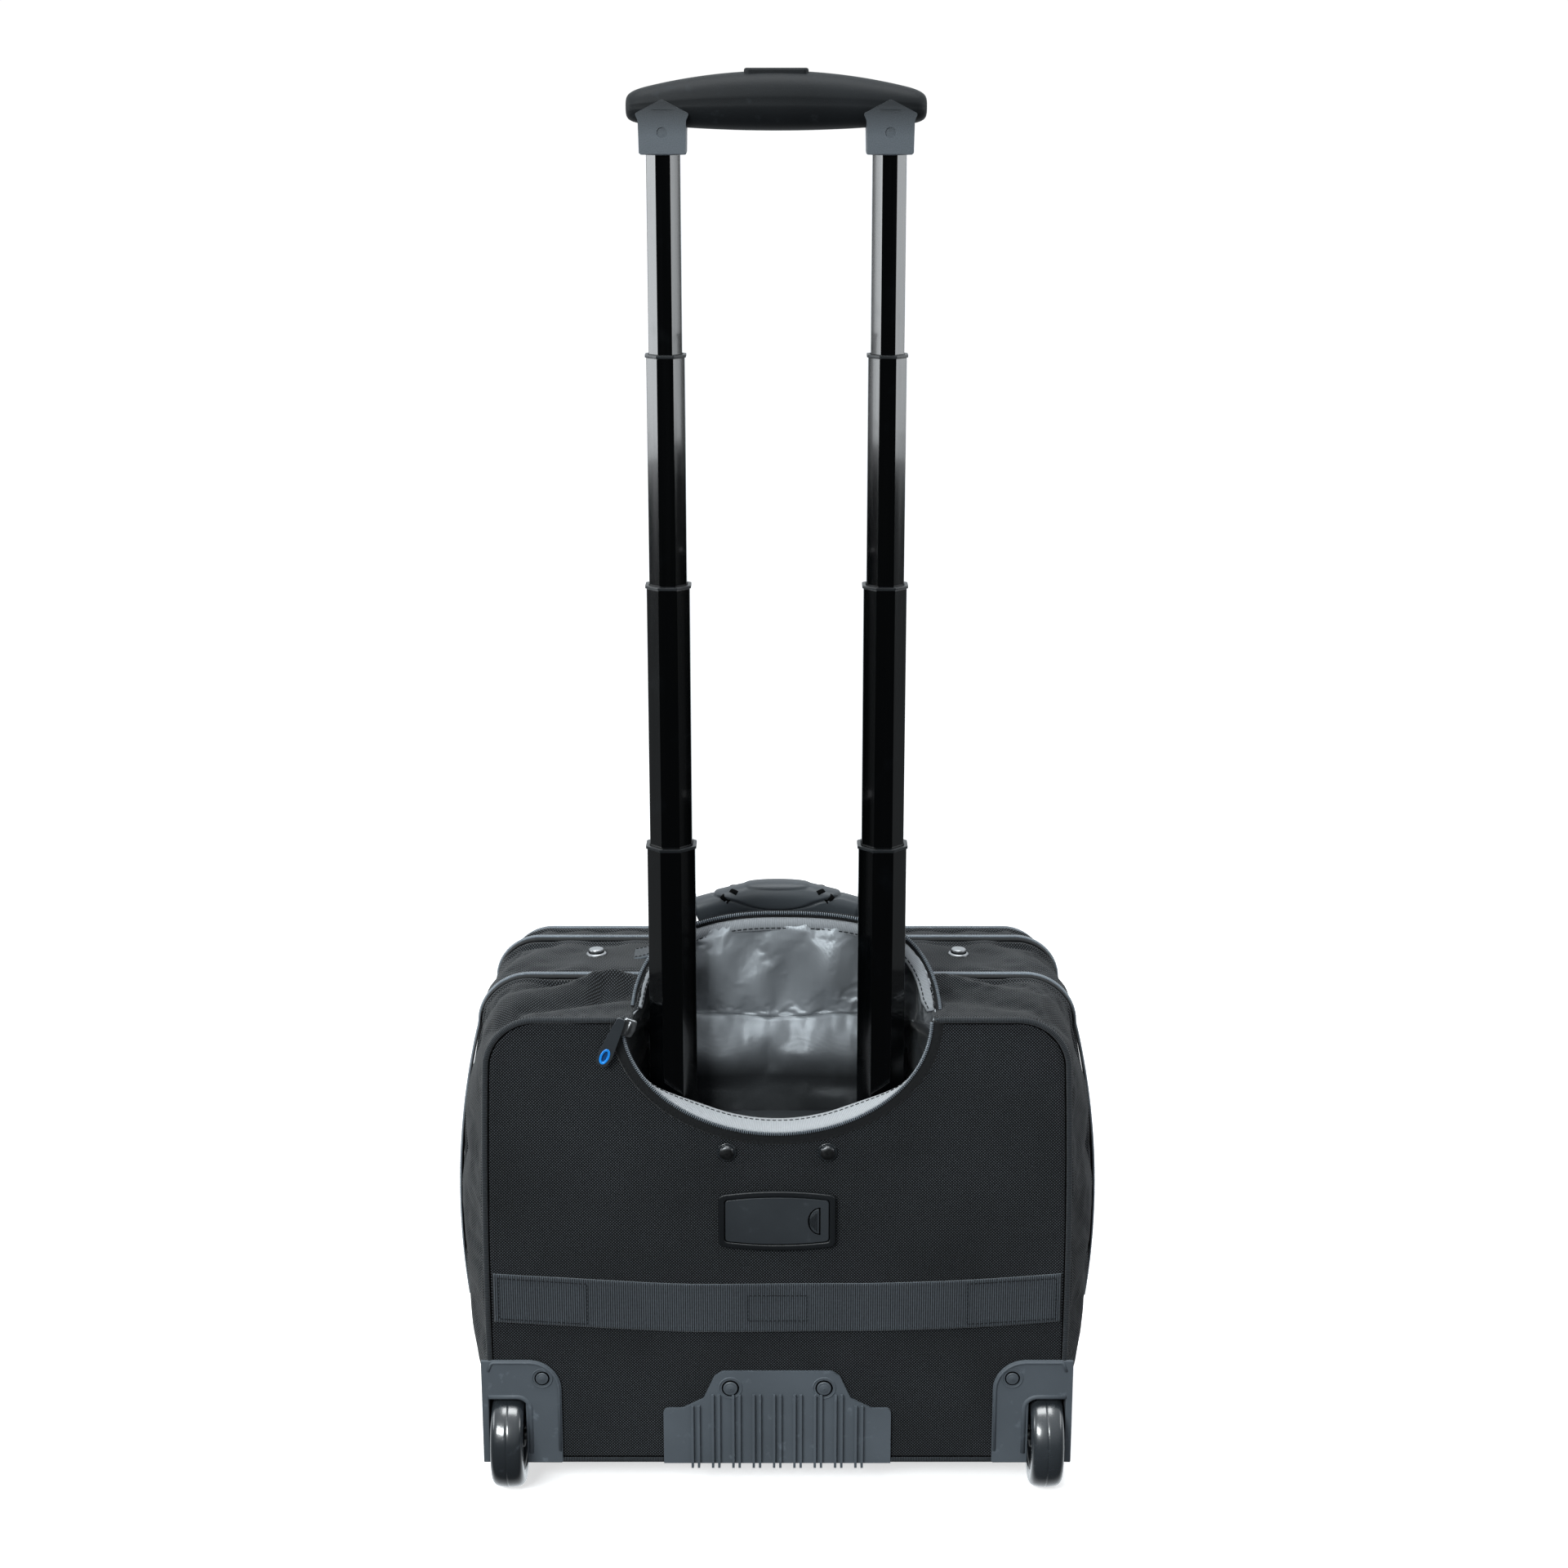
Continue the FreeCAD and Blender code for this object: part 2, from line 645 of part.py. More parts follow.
def grip_solid(inset):
    """The lens-shaped grip, moved in by inset, as a loft of many-sided ellipses along its length."""
    sides = 24
    angles = [2 * math.pi * (i + 0.5) / sides for i in range(sides)]
    half = number("grip_half") - inset
    thick = number("grip_thick") / 2 - inset
    wires = []
    for step in range(-6, 7):
        turn = step / 6 * math.pi / 2 * 0.985
        share = math.sin(turn)
        bulge = math.cos(turn)
        rise_mid = number("grip_rise") - inset
        rise_end = number("grip_end_rise") - inset
        rise = (rise_end + (rise_mid - rise_end) * (1 - share * share)) * min(1, bulge * 2.2)
        deep = (thick * (0.72 + 0.28 * (1 - share * share))) * min(1, bulge * 2.2)
        centre = Vector(half * share, 0, number("grip_centre") - number("grip_droop") * share * share)
        corners = [centre + Vector(0, deep * math.cos(a), rise * math.sin(a)) for a in angles]
        wires.append(Part.makePolygon(corners + corners[:1]))
    return Part.makeLoft(wires, True, False)


def octagon_prism(wide, x, low, top):
    points = [Vector(number(a) + x, number(b), low) for a, b in octagon(str(wide))]
    face = Part.Face(Part.makePolygon(points + points[:1]))
    return face.extrude(Vector(0, 0, top - low))


def make_grip():
    outer = grip_solid(0)
    inner = grip_solid(number("grip_wall"))
    parting = number("grip_centre")
    below = block(-200, 200, -50, 50, 900, parting)
    above = block(-200, 200, -50, 50, parting, 1100)
    slot_half = number("button_half") + 0.4
    slot_thick = number("button_thick") / 2 + 0.4
    slot = block(-slot_half, slot_half, -slot_thick, slot_thick, number("button_low-5"), 1100)
    top_shell = outer.cut(inner).common(above).cut(slot)
    low_shell = outer.cut(inner).common(below)
    sockets = []
    bores = []
    heads = []
    for side in (1, -1):
        x = side * number("pole_half")
        sockets.append(octagon_prism(number("socket_wide"), x, number("socket_low"), parting - 4))
        bores.append(octagon_prism(number("grip_tube_wide"), x, number("socket_low") - 1,
                                   number("grip_tube_top")))
        heads.append(Part.makeCylinder(number("screw_radius"), 4, Vector(
            x, -number("socket_wide") / 2 - 1, number("screw_z")), Vector(0, 1, 0)))
    low_shell = low_shell.fuse(sockets).cut(Part.makeCompound(bores + heads)).removeSplitter()
    for label, shape in (("grip_upper_shell", top_shell), ("grip_lower_shell", low_shell)):
        shape.translate(Vector(0, number("pole_depth"), 0))
        plain_feature(label, shape)


def make_grip_screws():
    body = new_body("grip_screws")
    back = "pole_depth-socket_wide/2+0.6"
    heads = [(draw_circle, ((f"{side}*pole_half", "screw_z"), "screw_radius")) for side in (1, -1)]
    face_pad(body, heads, back, "1.9")
    for side in (1, -1):
        for across, tall in (("1.7", "0.35"), ("0.35", "1.7")):
            cross = rectangle(f"{side}*pole_half-{across}", f"{side}*pole_half+{across}",
                              f"screw_z-{tall}", f"screw_z+{tall}")
            sketch = new_sketch(body, "XZ_Plane", f"-({back})")
            draw_polygon(sketch, cross)
            pocket(body, sketch, "0.8")
    finish_node(body, "grip_screws")


def make_button():
    body = new_body("release_button")
    outline = rectangle("-button_half", "button_half", "-button_thick/2", "button_thick/2")
    plan_pad(body, [(draw_polygon, (outline,))], "button_low", "button_top-button_low")
    top = number("button_top")
    round_edges(body, "3.5", upright)
    round_edges(body, "1.6", lambda e: e.BoundBox.ZLength < 1e-4 and abs(e.BoundBox.ZMax - top) < 1e-4)
    finish_node(body, "release_button", y="pole_depth")


# ---------------------------------------------------------------- trolley frame

def make_bracket(label, low, high, holes_from):
    """A block across both fixed tubes; its sockets start at holes_from."""
    body = new_body(label)
    outline = rectangle("-bracket_half", "bracket_half", "bracket_back-pole_depth",
                        "bracket_front-pole_depth")
    plan_pad(body, [(draw_polygon, (outline,))], low, high)
    round_edges(body, "5", upright)
    holes = [(draw_polygon, (shifted_octagon("outer_wide", side),)) for side in (1, -1)]
    plan_pocket(body, holes, f"{low}+{high}", f"{low}+{high}-({holes_from})")
    finish_node(body, label, y="pole_depth")


def stud_pads(body, x, z, back):
    """A flanged stud that stands out of the back panel at both sides."""
    flange = [(draw_circle, ((f"{side}*{x}", z), "stud_radius")) for side in (1, -1)]
    cap = [(draw_circle, ((f"{side}*{x}", z), "stud_cap")) for side in (1, -1)]
    face_pad(body, flange, f"{back}-1.2", "1.2")
    face_pad(body, cap, f"{back}-3", "1.8")


def make_studs():
    body = new_body("back_studs")
    stud_pads(body, "stud_x", "stud_z", "0")
    edge = -3
    round_edges(body, "1.2", lambda e: e.BoundBox.YLength < 1e-4 and abs(e.BoundBox.YMin - edge) < 1e-3)
    finish_node(body, "back_studs")
    body = new_body("top_studs")
    for radius, low, high in (("stud_radius", "0", "1.2"), ("stud_cap", "1.2", "2.6")):
        discs = [(draw_circle, ((f"{side}*top_stud_x", "top_stud_depth"), radius)) for side in (1, -1)]
        plan_pad(body, discs, low, high)
    top = 3.8
    round_edges(body, "2", lambda e: e.BoundBox.ZLength < 1e-4 and abs(e.BoundBox.ZMin - top) < 1e-3)
    finish_node(body, "top_studs", z="bag_top+1")


# ---------------------------------------------------------------- wheels

def make_wheel_guard(label, side):
    """A corner guard: face plate on the back panel and the housing of one wheel."""
    body = new_body(label)
    inner = f"{side}*(wheel_x-slot_half-guard_wall)"
    plate = rectangle(f"{side}*guard_inner", f"{side}*guard_outer", "guard_low", "guard_top")
    face_pad(body, [(draw_polygon, (plate,))], "-guard_face", "guard_face")
    edge_x = number("guard_inner")
    top = number("guard_top")
    round_edges(body, "guard_corner", lambda e: crosswise(e) and abs(
        abs(e.CenterOfMass.x) - edge_x) < 1e-3 and abs(e.CenterOfMass.z - top) < 1e-3)
    house = rectangle(inner, f"{side}*guard_outer", "guard_low", "house_top")
    face_pad(body, [(draw_polygon, (house,))], "0", "guard_deep")
    low_x = f"{side}*(wheel_x-slot_half)"
    high_x = f"{side}*(wheel_x+slot_half)"
    sketch = new_sketch(body, "XY_Plane", "guard_low")
    draw_polygon(sketch, rectangle(low_x, high_x, "-guard_face-1", "guard_deep-guard_wall"))
    pocket(body, sketch, "house_top-guard_wall-guard_low", backwards=True)
    finish_node(body, label)


def make_wheels():
    sideways = Rotation(Vector(0, 1, 0), 90)
    for word, side in (("left", -1), ("right", 1)):
        make_wheel_guard(f"wheel_guard_{word}", side)
        for name, inner, outer, half in (
            ("tyre", "hub_radius", "wheel_radius", "tyre_half"),
            ("hub", "(axle_radius+axle_gap)", "hub_radius", "hub_half"),
        ):
            body = new_body(f"{name}_{word}")
            sketch = new_sketch(body, "XZ_Plane")
            draw_polygon(sketch, rectangle(inner, outer, f"-{half}", half))
            turn = body.newObject("PartDesign::Revolution", f"{body.Name}_turn")
            turn.Profile = sketch
            turn.ReferenceAxis = (origin_item(body, "Z_Axis"), [""])
            turn.Angle = 360
            doc.recompute()
            rim = number(outer)
            if name == "tyre":
                round_edges(body, "tyre_round", lambda e: abs(e.BoundBox.XMax - rim) < 1e-3
                            and e.BoundBox.ZLength < 1e-4)
            finish_node(body, f"{name}_{word}", x=f"{side}*wheel_x", y="wheel_depth",
                        z="wheel_radius", rotation=sideways)
    body = new_body("wheel_axles")
    sketch = new_sketch(body, "YZ_Plane", "wheel_x-slot_half-guard_wall")
    draw_circle(sketch, ("wheel_depth", "wheel_radius"), "axle_radius")
    rod = pad(body, sketch, "2*slot_half+guard_wall")
    mirror(body, [rod])
    finish_node(body, "wheel_axles")


# ---------------------------------------------------------------- fittings of the back panel

def make_kick_plate():
    body = new_body("kick_plate")
    outline = [
        ("-kick_half", "kick_low"), ("kick_half", "kick_low"), ("kick_half", "kick_shoulder"),
        ("kick_half-14", "kick_shoulder"), ("kick_neck+8", "kick_shoulder+8"),
        ("kick_neck", "kick_top-4"), ("kick_neck-6", "kick_top"),
        ("-kick_neck+6", "kick_top"), ("-kick_neck", "kick_top-4"),
        ("-kick_neck-8", "kick_shoulder+8"), ("-kick_half+14", "kick_shoulder"),
        ("-kick_half", "kick_shoulder"),
    ]
    face_pad(body, [(draw_polygon, (outline,))], "-kick_thick", "kick_thick")
    steep = number("kick_shoulder") - 1
    round_edges(body, "3.9", lambda e: crosswise(e) and e.CenterOfMass.z > steep)
    under = rectangle("-kick_half", "kick_half", "kick_low", "bag_low")
    face_pad(body, [(draw_polygon, (under,))], "0", "34")
    for index in range(-4, 5):
        top = "rail_top-9" if abs(index) == 4 else "rail_top"
        rails = []
        for shift in ("-1.4-rail_wide", "1.4"):
            low_x = f"{index}*rail_pitch{shift if shift[0] == '-' else '+' + shift}"
            rails.append((draw_polygon, (rectangle(low_x, f"{low_x}+rail_wide", "kick_low-2.5", top),)))
        face_pad(body, rails, "-kick_thick-rail_proud", "rail_proud+kick_thick")
    finish_node(body, "kick_plate")


def make_rivets():
    body = new_body("panel_rivets")
    kick = [(draw_circle, ((f"{side}*kick_rivet_x", "kick_rivet_z"), "rivet_radius")) for side in (1, -1)]
    guard = [(draw_circle, ((f"{side}*guard_rivet_x", "guard_rivet_z"), "rivet_radius-0.6"))
             for side in (1, -1)]
    face_pad(body, kick + guard, "-kick_thick-2", "2")
    edge = number("-kick_thick-2")
    round_edges(body, "1.2", lambda e: e.BoundBox.YLength < 1e-4 and abs(e.BoundBox.YMin - edge) < 1e-3)
    finish_node(body, "panel_rivets")


def make_webbing_band():
    body = new_body("webbing_band")
    half = "(panel_half-2)"
    low = "band_z-band_half_high"
    top = "band_z+band_half_high"
    outline = [
        (f"-{half}", f"{low}+band_lift"), (f"-{half}/2", low), (f"{half}/2", low),
        (half, f"{low}+band_lift"), (half, f"{top}+band_lift"), (f"{half}/2", top),
        (f"-{half}/2", top), (f"-{half}", f"{top}+band_lift"),
    ]
    face_pad(body, [(draw_polygon, (outline,))], "-band_thick", "band_thick")
    finish_node(body, "webbing_band")


def make_tag_holder():
    body = new_body("tag_frame")
    arch = "tag_half_high-3"
    outline = [
        ("-tag_half", f"tag_z-({arch})"), ("-tag_half/2", "tag_z-tag_half_high"),
        ("tag_half/2", "tag_z-tag_half_high"), ("tag_half", f"tag_z-({arch})"),
        ("tag_half", f"tag_z+{arch}"), ("tag_half/2", "tag_z+tag_half_high"),
        ("-tag_half/2", "tag_z+tag_half_high"), ("-tag_half", f"tag_z+{arch}"),
    ]
    face_pad(body, [(draw_polygon, (outline,))], "-tag_proud", "tag_proud")
    round_edges(body, "5", crosswise)
    hole = rectangle("-tag_cover_half-tag_gap", "tag_cover_half+tag_gap",
                     "tag_z-tag_cover_high-tag_gap", "tag_z+tag_cover_high+tag_gap")
    sketch = new_sketch(body, "XZ_Plane", "tag_proud")
    draw_polygon(sketch, hole)
    pocket(body, sketch, "tag_proud-1.2")
    finish_node(body, "tag_frame")
    body = new_body("tag_cover")
    cover = rectangle("-tag_cover_half", "tag_cover_half", "tag_z-tag_cover_high", "tag_z+tag_cover_high")
    face_pad(body, [(draw_polygon, (cover,))], "-tag_proud-0.4", "1.8")
    round_edges(body, "3", crosswise)
    finish_node(body, "tag_cover")


def make_zip_slider():
    body = new_body("opening_slider")
    outline = rectangle("-slider_x-slider_half", "-slider_x+slider_half",
                        "slider_z-slider_half_high", "slider_z+slider_half_high")
    face_pad(body, [(draw_polygon, (outline,))], "-tape_thick-slider_thick", "slider_thick")
    round_edges(body, "2.5", crosswise)
    finish_node(body, "opening_slider")


def make_zip_pull():
    """A tab that hangs down and outwards from the slider, with an oval ring near its end."""
    tab = [("-3.5", "1.5"), ("3.5", "1.5"), ("5", "-27.6"),
           ("3.8", "-37.4"), ("-3.8", "-37.4"), ("-5", "-27.6")]
    ring = rectangle("-2.9", "2.9", "-34.8", "-22.8")
    eye = rectangle("-1.3", "1.3", "-33", "-24.6")
    for label, outer, hole, thick in (
        ("zip_pull", tab, ring, "pull_thick"),
        ("pull_ring", ring, eye, "ring_thick"),
    ):
        body = new_body(label)
        face_pad(body, [(draw_polygon, (outer,)), (draw_polygon, (hole,))], f"-{thick}/2", thick)
        finish_node(body, label, x="-pull_x", y="-tape_thick-slider_thick-2.6", z="pull_z",
                    rotation=Rotation(Vector(0, 1, 0), number("pull_slant")))


# ---------------------------------------------------------------- carry handle and feet

def make_carry_handle():
    half = number("carry_pin_x")
    rise = number("carry_rise")
    high = number("carry_high")
    thick = number("carry_thick")
    radius = (half * half + rise * rise) / (2 * rise)
    centre = number("carry_pin_z") + rise - radius
    arcs = []
    for reach in (radius + high / 2, radius - high / 2):
        turn = math.asin(half / radius)
        ends = [Vector(side * reach * math.sin(turn), 0, centre + reach * math.cos(turn))
                for side in (-1, 1)]
        arcs.append(Part.Arc(ends[0], Vector(0, 0, centre + reach), ends[1]).toShape())
    upper, lower = arcs
    left = Part.LineSegment(lower.Vertexes[0].Point, upper.Vertexes[0].Point).toShape()
    right = Part.LineSegment(upper.Vertexes[-1].Point, lower.Vertexes[-1].Point).toShape()
    wire = Part.Wire(Part.sortEdges([upper, right, lower, left])[0])
    bar = Part.Face(wire).extrude(Vector(0, thick, 0))
    bar = bar.makeFillet(5, [e for e in bar.Edges if e.BoundBox.XLength > 100])
    for side in (-1, 1):
        bore = Part.makeCylinder(number("carry_pin+axle_gap"), number("carry_pin_long"),
                                 Vector(side * number("carry_pin_from-0.5"), thick / 2,
                                        number("carry_pin_z")), Vector(side, 0, 0))
        bar = bar.cut(bore)
    bar.translate(Vector(0, number("carry_depth-carry_thick/2"), 0))
    plain_feature("carry_handle", bar)
    body = new_body("handle_pins")
    sketch = new_sketch(body, "YZ_Plane", "carry_pin_from")
    draw_circle(sketch, ("carry_depth", "carry_pin_z"), "carry_pin")
    pin = pad(body, sketch, "carry_pin_long")
    mirror(body, [pin])
    finish_node(body, "handle_pins")


def make_anchors():
    """Sewn tabs that carry the handle's pins above the bag's top."""
    body = new_body("handle_anchors")
    top = "bag_top+1.2"
    outline = [
        ("anchor_foot", top), ("anchor_foot", f"{top}+anchor_base"),
        ("anchor_foot-16", f"{top}+anchor_base+5"), ("carry_pin_x+16", "carry_pin_z+2"),
        ("carry_pin_x+4.5", "carry_pin_z+6"), ("carry_pin_x+4.5", "carry_pin_z-8"),
        ("carry_pin_x+16", f"{top}+9"), ("anchor_foot-24", top),
    ]
    part = face_pad(body, [(draw_polygon, (outline,))], "carry_depth-anchor_thick/2", "anchor_thick")
    mirror(body, [part])
    finish_node(body, "handle_anchors")


def make_feet():
    body = new_body("front_feet")
    outline = rectangle("foot_x-foot_half", "foot_x+foot_half",
                        "foot_depth-foot_thick/2", "foot_depth+foot_thick/2")
    part = plan_pad(body, [(draw_polygon, (outline,))], "0", "bag_low")
    mirror(body, [part])
    finish_node(body, "front_feet")


def check_and_write():
    doc.recompute()
    failed = [item.Label for item in doc.Objects if {"Invalid", "Error"} & set(item.State)]
    if failed:
        raise RuntimeError(f"these objects failed: {failed}")
    for node in nodes:
        if node.Shape.isNull() or not node.Shape.isValid():
            raise RuntimeError(f"{node.Label} has no valid shape")
    os.makedirs("parts", exist_ok=True)
    for node in nodes:
        node.Shape.exportStep(f"parts/{node.Label}.step")


make_back_panel()
make_piping()
make_rear_gusset()
make_middle_gusset()
make_divider()
make_lid()
make_section_zippers()
make_mouth_zipper()
make_flap()
make_well_lining()
make_stages()
make_grip()
make_grip_screws()
make_button()
make_bracket("base_bracket", "base_low", "base_high", "outer_low")
make_bracket("upper_bracket", "clamp_low", "clamp_high", "clamp_low")
make_studs()
make_wheels()
make_kick_plate()
make_rivets()
make_webbing_band()
make_tag_holder()
make_zip_slider()
make_zip_pull()
make_carry_handle()
make_anchors()
make_feet()
check_and_write()
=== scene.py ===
import json
import math

import bmesh
import bpy
import numpy as np
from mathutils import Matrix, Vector

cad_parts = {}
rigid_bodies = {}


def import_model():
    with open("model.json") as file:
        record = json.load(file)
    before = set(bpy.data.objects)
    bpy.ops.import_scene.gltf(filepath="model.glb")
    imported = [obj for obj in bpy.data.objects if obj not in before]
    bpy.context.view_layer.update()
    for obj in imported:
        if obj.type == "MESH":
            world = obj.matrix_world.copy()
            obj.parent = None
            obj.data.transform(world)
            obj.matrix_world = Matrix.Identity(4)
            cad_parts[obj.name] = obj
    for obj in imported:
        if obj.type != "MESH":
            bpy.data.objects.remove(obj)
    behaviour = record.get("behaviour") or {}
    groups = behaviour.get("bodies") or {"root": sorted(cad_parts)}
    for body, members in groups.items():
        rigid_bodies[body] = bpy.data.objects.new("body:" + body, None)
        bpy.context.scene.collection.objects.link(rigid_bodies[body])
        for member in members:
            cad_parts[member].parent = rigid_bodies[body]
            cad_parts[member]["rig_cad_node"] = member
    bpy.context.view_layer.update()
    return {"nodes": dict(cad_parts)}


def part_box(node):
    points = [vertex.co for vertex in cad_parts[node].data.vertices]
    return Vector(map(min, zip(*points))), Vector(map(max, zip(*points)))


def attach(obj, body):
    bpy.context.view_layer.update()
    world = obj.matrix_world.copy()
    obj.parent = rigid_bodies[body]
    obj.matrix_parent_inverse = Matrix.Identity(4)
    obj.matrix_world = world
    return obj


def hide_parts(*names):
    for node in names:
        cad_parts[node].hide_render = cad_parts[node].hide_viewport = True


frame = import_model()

# Lengths below are millimetres. A point is (x, depth, z): depth is counted forwards from the back
# panel's outer face, and z upwards from the floor.
MM = 0.001
BACK_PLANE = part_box("back_panel")[0].y / MM
TOWARDS_BACK = np.array([0.0, -1.0, 0.0])


def metres(points):
    """Points in millimetres as metres in the row's frame."""
    moved = np.array(points, float).reshape(-1, 3) * MM
    moved[:, 1] += BACK_PLANE * MM
    return moved


def node_box(name):
    """A CAD node's lowest and highest corner as x, depth and z in millimetres."""
    return [np.array([corner.x, corner.y, corner.z]) / MM - (0, BACK_PLANE, 0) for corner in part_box(name)]


# ---------------------------------------------------------------- materials

class Nodes:
    """A tree of shader nodes while they are being joined."""

    def __init__(self, tree):
        self.tree = tree

    def node(self, kind, inputs, out=0, **settings):
        made = self.tree.nodes.new("ShaderNode" + kind)
        for key, value in settings.items():
            setattr(made, key, value)
        for key, value in inputs.items():
            if isinstance(value, bpy.types.NodeSocket):
                self.tree.links.new(value, made.inputs[key])
            else:
                made.inputs[key].default_value = value
        return made.outputs[out]

    def math(self, operation, *values):
        return self.node("Math", dict(enumerate(values)), operation=operation)

    def axis(self, vector, letter):
        return self.node("SeparateXYZ", {0: vector}, out=letter)

    def ramp(self, value, low, high, from_value, to_value):
        return self.node("MapRange", {0: value, 1: low, 2: high, 3: from_value, 4: to_value})


class Paint(Nodes):
    """A procedural material."""

    def __init__(self, name, **fixed):
        self.material = bpy.data.materials.new(name)
        self.material.use_nodes = True
        super().__init__(self.material.node_tree)
        self.shader = self.tree.nodes["Principled BSDF"]
        for socket, value in fixed.items():
            self.shader.inputs[socket.replace("_", " ")].default_value = value

    def place(self):
        """Where a point is on its object, in metres."""
        return self.node("TexCoord", {}, out="Object")

    def woven(self):
        """Where a point is on the cut cloth, in metres."""
        return self.node("TexCoord", {}, out="UV")

    def noise(self, where, scale, detail=3.0):
        return self.node("TexNoise", {"Vector": where, "Scale": scale, "Detail": detail})

    def mix(self, share, first, second):
        return self.node("Mix", {0: share, 6: first, 7: second}, out=2, data_type="RGBA")

    def waves(self, value, pitch):
        """A cosine that repeats every pitch metres."""
        return self.math("COSINE", self.math("MULTIPLY", value, 2 * math.pi / pitch))

    def bump(self, height, distance, strength=1.0, below=None):
        inputs = {"Height": height, "Distance": distance, "Strength": strength}
        if below is not None:
            inputs["Normal"] = below
        return self.node("Bump", inputs)

    def done(self, colour=None, rough=None, normal=None):
        for name, value in (("Base Color", colour), ("Roughness", rough), ("Normal", normal)):
            if value is not None:
                self.tree.links.new(value, self.shader.inputs[name])
        return self.material


def grey(value, cool=0.15):
    """A neutral colour with a slightly cool cast."""
    return (value * (1 - cool), value, value * (1 + cool), 1)


def ballistic():
    """Black ballistic nylon: a basket weave whose crossings catch the light, that light painted into its
    colour as lighter dots.
    """
    paint = Paint("ballistic_weave", Specular_IOR_Level=0.16, Sheen_Weight=0.12, Sheen_Roughness=0.5)
    cut = paint.woven()
    across = paint.waves(paint.axis(cut, "X"), 0.0022)
    along = paint.waves(paint.axis(cut, "Y"), 0.0022)
    weave = paint.math("MULTIPLY", across, along)
    fray = paint.noise(cut, 900.0, 2.0)
    # painted highlights: the crossings of the weave are coloured lighter where they would catch the light
    glint_dots = paint.ramp(paint.math("ADD", weave, paint.math("MULTIPLY", fray, 0.5)), 0.40, 1.15, 0.0, 1.0)
    wear_and_glint = paint.ramp(paint.noise(cut, 9.0, 4.0), 0.3, 0.7, 0.0, 1.0)
    dark = paint.mix(paint.noise(cut, 60.0), grey(0.0010, 0.2), grey(0.0030, 0.2))
    # the colour of the painted highlights on the crossings, varying at random
    light = paint.mix(wear_and_glint, grey(0.060, 0.12), grey(0.110, 0.12))
    colour = paint.mix(glint_dots, dark, light)
    rough = paint.ramp(glint_dots, 0.0, 1.0, 0.92, 0.62)
    height = paint.math("ADD", paint.math("MULTIPLY", weave, 0.5), paint.math("MULTIPLY", fray, 0.25))
    fine = paint.bump(height, 0.0005, 1.0)
    soft = paint.bump(paint.noise(cut, 26.0, 3.0), 0.0022, 0.5, fine)
    return paint.done(colour, rough, soft)


def satin(name, light, dark, gloss=0.34):
    """Silver-grey lining taffeta with a fine rib and a soft directional gloss."""
    paint = Paint(name, Metallic=0.45, Specular_IOR_Level=0.5, Sheen_Weight=0.1, Sheen_Roughness=0.3)
    cut = paint.woven()
    rib = paint.waves(paint.axis(cut, "Y"), 0.0007)
    thread = paint.noise(cut, 700.0, 2.0)
    shade = paint.ramp(paint.noise(cut, 22.0, 3.0), 0.3, 0.7, 0.0, 1.0)
    # painted shade: less light reaches the lining's two ends, so its colour is darkened there
    ends = paint.ramp(paint.math("ABSOLUTE", paint.axis(paint.place(), "X")), 0.066, 0.090, 0.0, 0.86)
    # and deep down in the well more painted shade darkens it further
    depth = paint.ramp(paint.axis(paint.place(), "Z"), 0.306, 0.346, 0.90, 0.0)
    shaded = paint.math("MAXIMUM", ends, depth)
    colour = paint.mix(shaded, paint.mix(shade, grey(dark, 0.07), grey(light, 0.07)), grey(0.008))
    rough = paint.ramp(thread, 0.2, 0.8, gloss, gloss + 0.14)
    fine = paint.bump(paint.math("ADD", rib, thread), 0.00006, 0.6)
    return paint.done(colour, rough, fine)


def ribbed(name, pitch, dark, light, rough, letter="X", depth=0.0003, cool=0.15):
    """Woven tape or webbing with ribs across its length."""
    paint = Paint(name, Specular_IOR_Level=0.22, Sheen_Weight=0.15)
    cut = paint.woven()
    rib = paint.waves(paint.axis(cut, letter), pitch)
    other = paint.waves(paint.axis(cut, "Y" if letter == "X" else "X"), pitch * 0.55)
    thread = paint.math("ADD", rib, paint.math("MULTIPLY", other, 0.25))
    share = paint.ramp(paint.math("ADD", thread, paint.noise(cut, 500.0, 2.0)), -0.4, 1.5, 0.0, 1.0)
    tone = paint.ramp(paint.noise(cut, 18.0, 4.0), 0.25, 0.75, 0.8, 1.15)
    colour = paint.mix(paint.math("MULTIPLY", share, tone), grey(dark, cool), grey(light, cool))
    normal = paint.bump(thread, depth, 0.8)
    return paint.done(colour, paint.ramp(share, 0.0, 1.0, rough, rough - 0.15), normal)


def moulded(name, dark, light, rough, grain=0.00008, scale=1400.0, shine=0.5, **fixed):
    """Moulded plastic or rubber: a fine grain, slow tone changes, and faint scuffs."""
    paint = Paint(name, Specular_IOR_Level=shine, **fixed)
    where = paint.place()
    pebble = paint.noise(where, scale, 2.0)
    slow = paint.ramp(paint.noise(where, 14.0, 4.0), 0.3, 0.7, 0.0, 1.0)
    scuff = paint.ramp(paint.noise(where, 120.0, 6.0), 0.62, 0.74, 0.0, 0.5)
    colour = paint.mix(scuff, paint.mix(slow, grey(dark), grey(light)), grey(light * 1.7 + 0.004))
    ruffle = paint.math("ADD", paint.math("MULTIPLY", slow, 0.06), paint.math("MULTIPLY", scuff, 0.16))
    return paint.done(colour, paint.math("ADD", ruffle, rough), paint.bump(pebble, grain, 0.6))


def metal(name, colour, rough, brushed=0.25):
    paint = Paint(name, Metallic=1.0)
    where = paint.place()
    streak = paint.noise(where, 420.0, 3.0)
    tone = paint.mix(paint.ramp(paint.noise(where, 60.0), 0.3, 0.7, 0.0, 1.0), grey(colour, 0.03),
                     grey(colour * 0.8, 0.03))
    rough = paint.ramp(streak, 0.2, 0.8, rough, rough + brushed)
    return paint.done(tone, rough, paint.bump(streak, 0.00003, 0.4))


